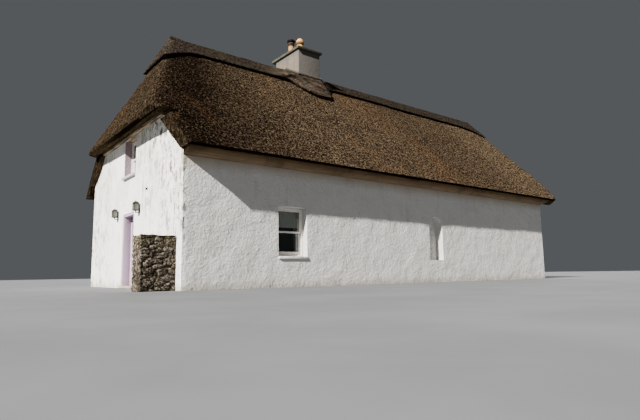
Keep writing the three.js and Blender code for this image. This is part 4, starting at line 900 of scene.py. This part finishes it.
def thinned(skin):
    """Pares the saddle down to the cap's own thickness along its lower edge."""
    line = cap_edge_line()
    for vert in skin.verts:
        x, y, z = vert.co
        if not SADDLE_FROM < x < SADDLE_TO + SADDLE_PAST_END:
            continue
        edge = CAP_EDGE
        for a, b in zip(line, line[1:]):
            if a.x <= x <= b.x:
                edge = a.y + (b.y - a.y) * (x - a.x) / max(b.x - a.x, 1e-6)
        proud = abs(y) - (CAP_APEX - z) / math.tan(ROOF_PITCH)
        most = SADDLE_LIP + SADDLE_GAIN * max(z - edge, 0.0)
        most += STACK_FOOT_GAIN * max(z - STACK_FOOT_Z, 0.0)
        ending = (x - SADDLE_TO + SADDLE_TAPER_START) / SADDLE_TAPER_LENGTH
        ending = min(max(ending, 0.0), 1.0)
        most *= 1 - SADDLE_TAPER_LOSS * ending * ending * (3 - 2 * ending)
        if proud > 0:
            kept = proud / (1 + (proud / most) ** 4) ** 0.25
            vert.co.y -= math.copysign(proud - kept, y)


class COTTAGE_OT_ridge(bpy.types.Operator):
    """Lays the ridge cap and its saddle round the stack"""
    bl_idname = "cottage.ridge"
    bl_label = "Ridge cap"

    def execute(self, context):
        s = context.scene.cottage_thatch
        step = s.cap_step * 1.0
        skin = remeshed(node_mesh("ridge_cap"), step)
        thinned(skin)
        skin = remeshed(skin, step)
        smoothed(skin, 0.4)
        weathered(skin, s.undulation * 0.6, s.tufting * 0.8)
        make_piece(skin, "ridge_straw_cap", cap_finish(s), "ridge_cap", sharp=70.0)
        return {"FINISHED"}


class COTTAGE_OT_walls(bpy.types.Operator):
    """Limewashes the walls, floors the house and finishes its timbers"""
    bl_idname = "cottage.walls"
    bl_label = "Walls, floors and timbers"

    def execute(self, context):
        s = context.scene.cottage_masonry
        j = context.scene.cottage_joinery
        wash = limewash_finish(s)
        dress((
            "front_wall", "rear_wall", "gable_wall_beside_door_front",
            "gable_wall_beside_door_rear", "gable_wall_over_door", "plain_gable_wall",
        ), wash)
        softened("front_window_sill", wash, 0.012, 3)
        painted = render_finish("painted_sill", s.sill, s.reveal)
        softened("gable_window_sill", painted, 0.012, 3)
        dress(("ground_floor",), render_finish("floor_screed", s.mortar, s.slab))
        rough = timber_finish("rough_timber", j.old_timber, (0.05, 0.04, 0.03))
        dress(("loft_floor", "roof_frame"), rough)
        boards = soffit_finish(context.scene.cottage_thatch)
        dress(("front_soffit_board", "rear_soffit_board"), boards)
        pale_dark = (0.07, 0.055, 0.04)
        pale = timber_finish("weathered_plate", j.pale_timber, pale_dark, (22, 1.2, 22))
        softened("gable_wall_plate", pale, 0.008, 2)
        return {"FINISHED"}


class COTTAGE_OT_pier(bpy.types.Operator):
    """Builds the rubble pier beside the door gable"""
    bl_idname = "cottage.pier"
    bl_label = "Rubble pier"

    def execute(self, context):
        s = context.scene.cottage_masonry
        skin = remeshed(node_mesh("stone_pier"), s.pier_step)
        skin.normal_update()
        tint = skin.verts.layers.float.new("stone_tint")
        joint = skin.verts.layers.float.new("stone_joint")
        noise.seed_set(STONE_SEED)
        for vert in skin.verts:
            place = vert.co + noise.noise_vector(vert.co * STONE_WARP_SCALE) * STONE_WARP
            spot = Vector([a * b for a, b in zip(place, STONES_TO_METRE)])
            reach, centres = noise.voronoi(spot)
            open_joint = min((reach[1] - reach[0]) * JOINT_SHARPNESS, 1.0)
            vert[joint] = open_joint
            vert[tint] = noise.cell(centres[0] * TINT_SCALE)
            rough = noise.noise(vert.co * 28.0) * 0.006 + noise.noise(vert.co * 11.0) * 0.01
            sunk = s.joint_depth * (1.0 - open_joint) ** 2
            vert.co += vert.normal * (rough - sunk - STONE_SINK)
        make_piece(skin, "rubble_pier", rubble_finish(s), "stone_pier", sharp=0)
        return {"FINISHED"}


def rear_pot_profile(tall):
    """Half profile of the rear pot: a foot, a plain shaft and a rim with a hollow."""
    return (
        (0.125, 0), (0.125, 0.05), (0.119, 0.075), (0.1, 0.1), (0.098, 0.2),
        (0.094, tall - 0.075), (0.1, tall - 0.06), (0.112, tall - 0.05),
        (0.113, tall - 0.015), (0.108, tall), (0.088, tall), (0.08, tall - 0.1),
    )


def front_pot_profile(tall, step):
    """Half profile of the front pot: a foot, a collar from the step and a domed head."""
    return (
        (0.125, 0), (0.125, 0.045), (0.118, 0.06), (0.114, 0.1), (0.112, step - 0.01),
        (0.122, step), (0.136, step + 0.012), (0.138, step + 0.03), (0.136, step + 0.052),
        (0.12, step + 0.066), (0.118, step + 0.11), (0.11, step + 0.14),
        (0.092, step + 0.172), (0.062, step + 0.197), (0.03, step + 0.207),
        (POINT_RADIUS, tall),
    )


def lathe(name, profile, material, node):
    """A turned piece from its profile, standing where the CAD node stands."""
    work = bmesh.new()
    points = [work.verts.new((radius, 0, up)) for radius, up in profile]
    points.append(work.verts.new((POINT_RADIUS, 0, profile[-1][1])))
    points.insert(0, work.verts.new((POINT_RADIUS, 0, 0)))
    line = [work.edges.new(pair) for pair in zip(points, points[1:])]
    bmesh.ops.spin(
        work, geom=points + line, cent=(0, 0, 0), axis=(0, 0, 1), angle=math.tau,
        steps=LATHE_STEPS, use_merge=True,
    )
    bmesh.ops.remove_doubles(work, verts=work.verts, dist=LATHE_WELD)
    rims = [e for e in work.edges if e.is_boundary]
    if rims:
        bmesh.ops.holes_fill(work, edges=rims, sides=0)
    bmesh.ops.recalc_face_normals(work, faces=work.faces)
    low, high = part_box(node)
    centre = (low + high) / 2
    bmesh.ops.translate(work, verts=work.verts, vec=(centre.x, centre.y, low.z))
    return make_piece(work, name, material, node)


class COTTAGE_OT_chimney(bpy.types.Operator):
    """Finishes the stack, slab, mortar and pots"""
    bl_idname = "cottage.chimney"
    bl_label = "Chimney"

    def execute(self, context):
        s = context.scene.cottage_masonry
        j = context.scene.cottage_joinery
        stack_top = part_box("chimney_stack")[1].z
        render = render_finish("chimney_render", s.render, s.render_dark, stack_top)
        softened("chimney_stack", render, 0.015, 3)
        # Passing a top gives the slab painted shade on its front face
        slab = render_finish("chimney_slab", s.slab, s.slab_dark, 99.0)
        softened("chimney_slab", slab, 0.012, 3)
        skin = remeshed(node_mesh("chimney_flaunching"), FILLET_STEP)
        weathered(skin, 0.006, 0.003, 0.3)
        lime = render_finish("lime_mortar", s.fillet, s.render_dark)
        make_piece(skin, "mortar_fillet", lime, "chimney_flaunching", sharp=0)
        low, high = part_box("chimney_pot_rear")
        clay = clay_finish("terracotta", j.terracotta, j.soot, *SOOT_BAND)
        profile = rear_pot_profile(high.z - low.z)
        lathe("rear_clay_pot", profile, clay, "chimney_pot_rear")
        sooty = metal_finish("sooty_metal", j.soot, (0.012, 0.009, 0.007), 0.1)
        lathe("rear_cowl", COWL_PROFILE, sooty, "chimney_cowl")
        low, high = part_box("chimney_pot_front")
        tall = high.z - low.z
        step = tall - FRONT_POT_HEAD
        collar = [low.z + step + offset for offset in (-0.06, -0.03, 0.07)]
        cream = clay_finish("cream_clay", j.cream, j.burnt, *collar)
        profile = front_pot_profile(tall, step)
        lathe("front_clay_pot", profile, cream, "chimney_pot_front")
        return {"FINISHED"}


class COTTAGE_OT_windows(bpy.types.Operator):
    """Finishes the window joinery and its glass"""
    bl_idname = "cottage.windows"
    bl_label = "Windows"

    def execute(self, context):
        j = context.scene.cottage_joinery
        white = paint_finish("white_joinery", j.white, (0.3, 0.28, 0.25))
        sashed = [
            f"{window}_{part}" for window in ("front_window", "gable_window")
            for part in ("frame", "upper_sash", "lower_sash")
        ]
        for node in (*sashed, "rear_window_right_frame", "rear_window_left_frame"):
            softened(node, white, j.edge, j.edge_steps)
        glass = glass_finish("window_glass", j.glass)
        dress([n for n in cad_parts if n.endswith("_glass") and "window" in n], glass)
        return {"FINISHED"}


def hang_net(node, name, along, linen):
    """A gathered net in waves across a CAD node's box."""
    low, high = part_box(node)
    size = high - low
    centre = (low + high) / 2
    width = size.x if along == "X" else size.y
    work = bmesh.new()
    bmesh.ops.create_grid(work, x_segments=NET_COLUMNS, y_segments=NET_ROWS, size=0.5)
    spots = sorted({round(v.co.x, 5) for v in work.verts})
    shape = {x: math.sin((x + 0.5) * NET_FOLDS * math.tau) * NET_SWING for x in spots}
    for vert in work.verts:
        x, y = vert.co.x, vert.co.y
        ripple = shape[round(x, 5)]
        height = centre.z + y * size.z
        if along == "X":
            vert.co = Vector((centre.x + x * width, centre.y + ripple, height))
        else:
            vert.co = Vector((centre.x + ripple, centre.y + x * width, height))
    bmesh.ops.recalc_face_normals(work, faces=work.faces)
    piece = make_piece(work, name, linen, node)
    thick = piece.modifiers.new("Thickness", "SOLIDIFY")
    thick.thickness = NET_THICKNESS
    thick.offset = 0


class COTTAGE_OT_curtains(bpy.types.Operator):
    """Hangs the blind and the curtain"""
    bl_idname = "cottage.curtains"
    bl_label = "Curtains"

    def execute(self, context):
        linen = cloth_finish("linen", context.scene.cottage_joinery.linen)
        for node, name, along, holds in (
            ("front_window_blind", "front_net_blind", "X", "front_window_frame_finished"),
            ("gable_window_curtain", "gable_net_curtain", "Y", "gable_window_frame_finished"),
        ):
            hang_net(node, name, along, linen)
        return {"FINISHED"}


class COTTAGE_OT_door(bpy.types.Operator):
    """Paints the door, its frame and lining"""
    bl_idname = "cottage.door"
    bl_label = "Door"

    def execute(self, context):
        j = context.scene.cottage_joinery
        m = context.scene.cottage_masonry
        paint = paint_finish("lavender_joinery", j.lavender, (0.22, 0.18, 0.22), 0.38)
        softened("door_frame", paint, j.edge, j.edge_steps)
        softened("door_leaf", paint, j.edge * 0.7, j.edge_steps, body="door")
        dress(("door_glass",), glass_finish("door_glass", j.glass))
        metal = metal_finish("door_metal", j.lantern, j.soot)
        softened("door_handle", metal, 0.0012, 2, body="door")
        stone = render_finish("threshold_stone", m.mortar, m.slab)
        softened("door_threshold", stone, 0.008, 3)
        return {"FINISHED"}


class COTTAGE_OT_lanterns(bpy.types.Operator):
    """Finishes the two wall lanterns and the tie boss"""
    bl_idname = "cottage.lanterns"
    bl_label = "Lanterns"

    def execute(self, context):
        j = context.scene.cottage_joinery
        metal = metal_finish("lantern_metal", j.lantern, j.old_timber)
        for side in ("left", "right"):
            softened(f"lantern_{side}_body", metal, 0.0012, 2)
        panes = glass_finish("lantern_glass", j.lantern_pane, 0.25, 0.3)
        dress(("lantern_left_glass", "lantern_right_glass"), panes)
        dress(("gable_tie_boss",), metal)
        return {"FINISHED"}


class COTTAGE_PT_sidebar(bpy.types.Panel):
    bl_idname = "COTTAGE_PT_sidebar"
    bl_label = "Thatched cottage"
    bl_space_type = "VIEW_3D"
    bl_region_type = "UI"
    bl_category = "Cottage"

    def draw(self, context):
        for step in STEPS:
            self.layout.operator(step.bl_idname)
        for group in GROUPS:
            box = self.layout.box()
            settings = getattr(context.scene, group)
            for name in settings.bl_rna.properties.keys():
                if name not in ("rna_type", "name"):
                    box.prop(settings, name)


GROUPS = {
    "cottage_thatch": CottageThatch,
    "cottage_masonry": CottageMasonry,
    "cottage_joinery": CottageJoinery,
    "cottage_stage": CottageStage,
}
STEPS = (
    COTTAGE_OT_stage, COTTAGE_OT_thatch, COTTAGE_OT_ridge, COTTAGE_OT_walls, COTTAGE_OT_pier,
    COTTAGE_OT_chimney, COTTAGE_OT_windows, COTTAGE_OT_curtains, COTTAGE_OT_door,
    COTTAGE_OT_lanterns,
)


def register():
    for item in (*GROUPS.values(), *STEPS, COTTAGE_PT_sidebar):
        bpy.utils.register_class(item)
    for name, group in GROUPS.items():
        setattr(bpy.types.Scene, name, PointerProperty(type=group))


def unregister():
    for name in GROUPS:
        delattr(bpy.types.Scene, name)
    for item in (COTTAGE_PT_sidebar, *reversed(STEPS), *GROUPS.values()):
        bpy.utils.unregister_class(item)


def main():
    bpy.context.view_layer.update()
    register()
    for step in STEPS:
        group, action = step.bl_idname.split(".")
        getattr(getattr(bpy.ops, group), action)()


if __name__ == "__main__":
    main()
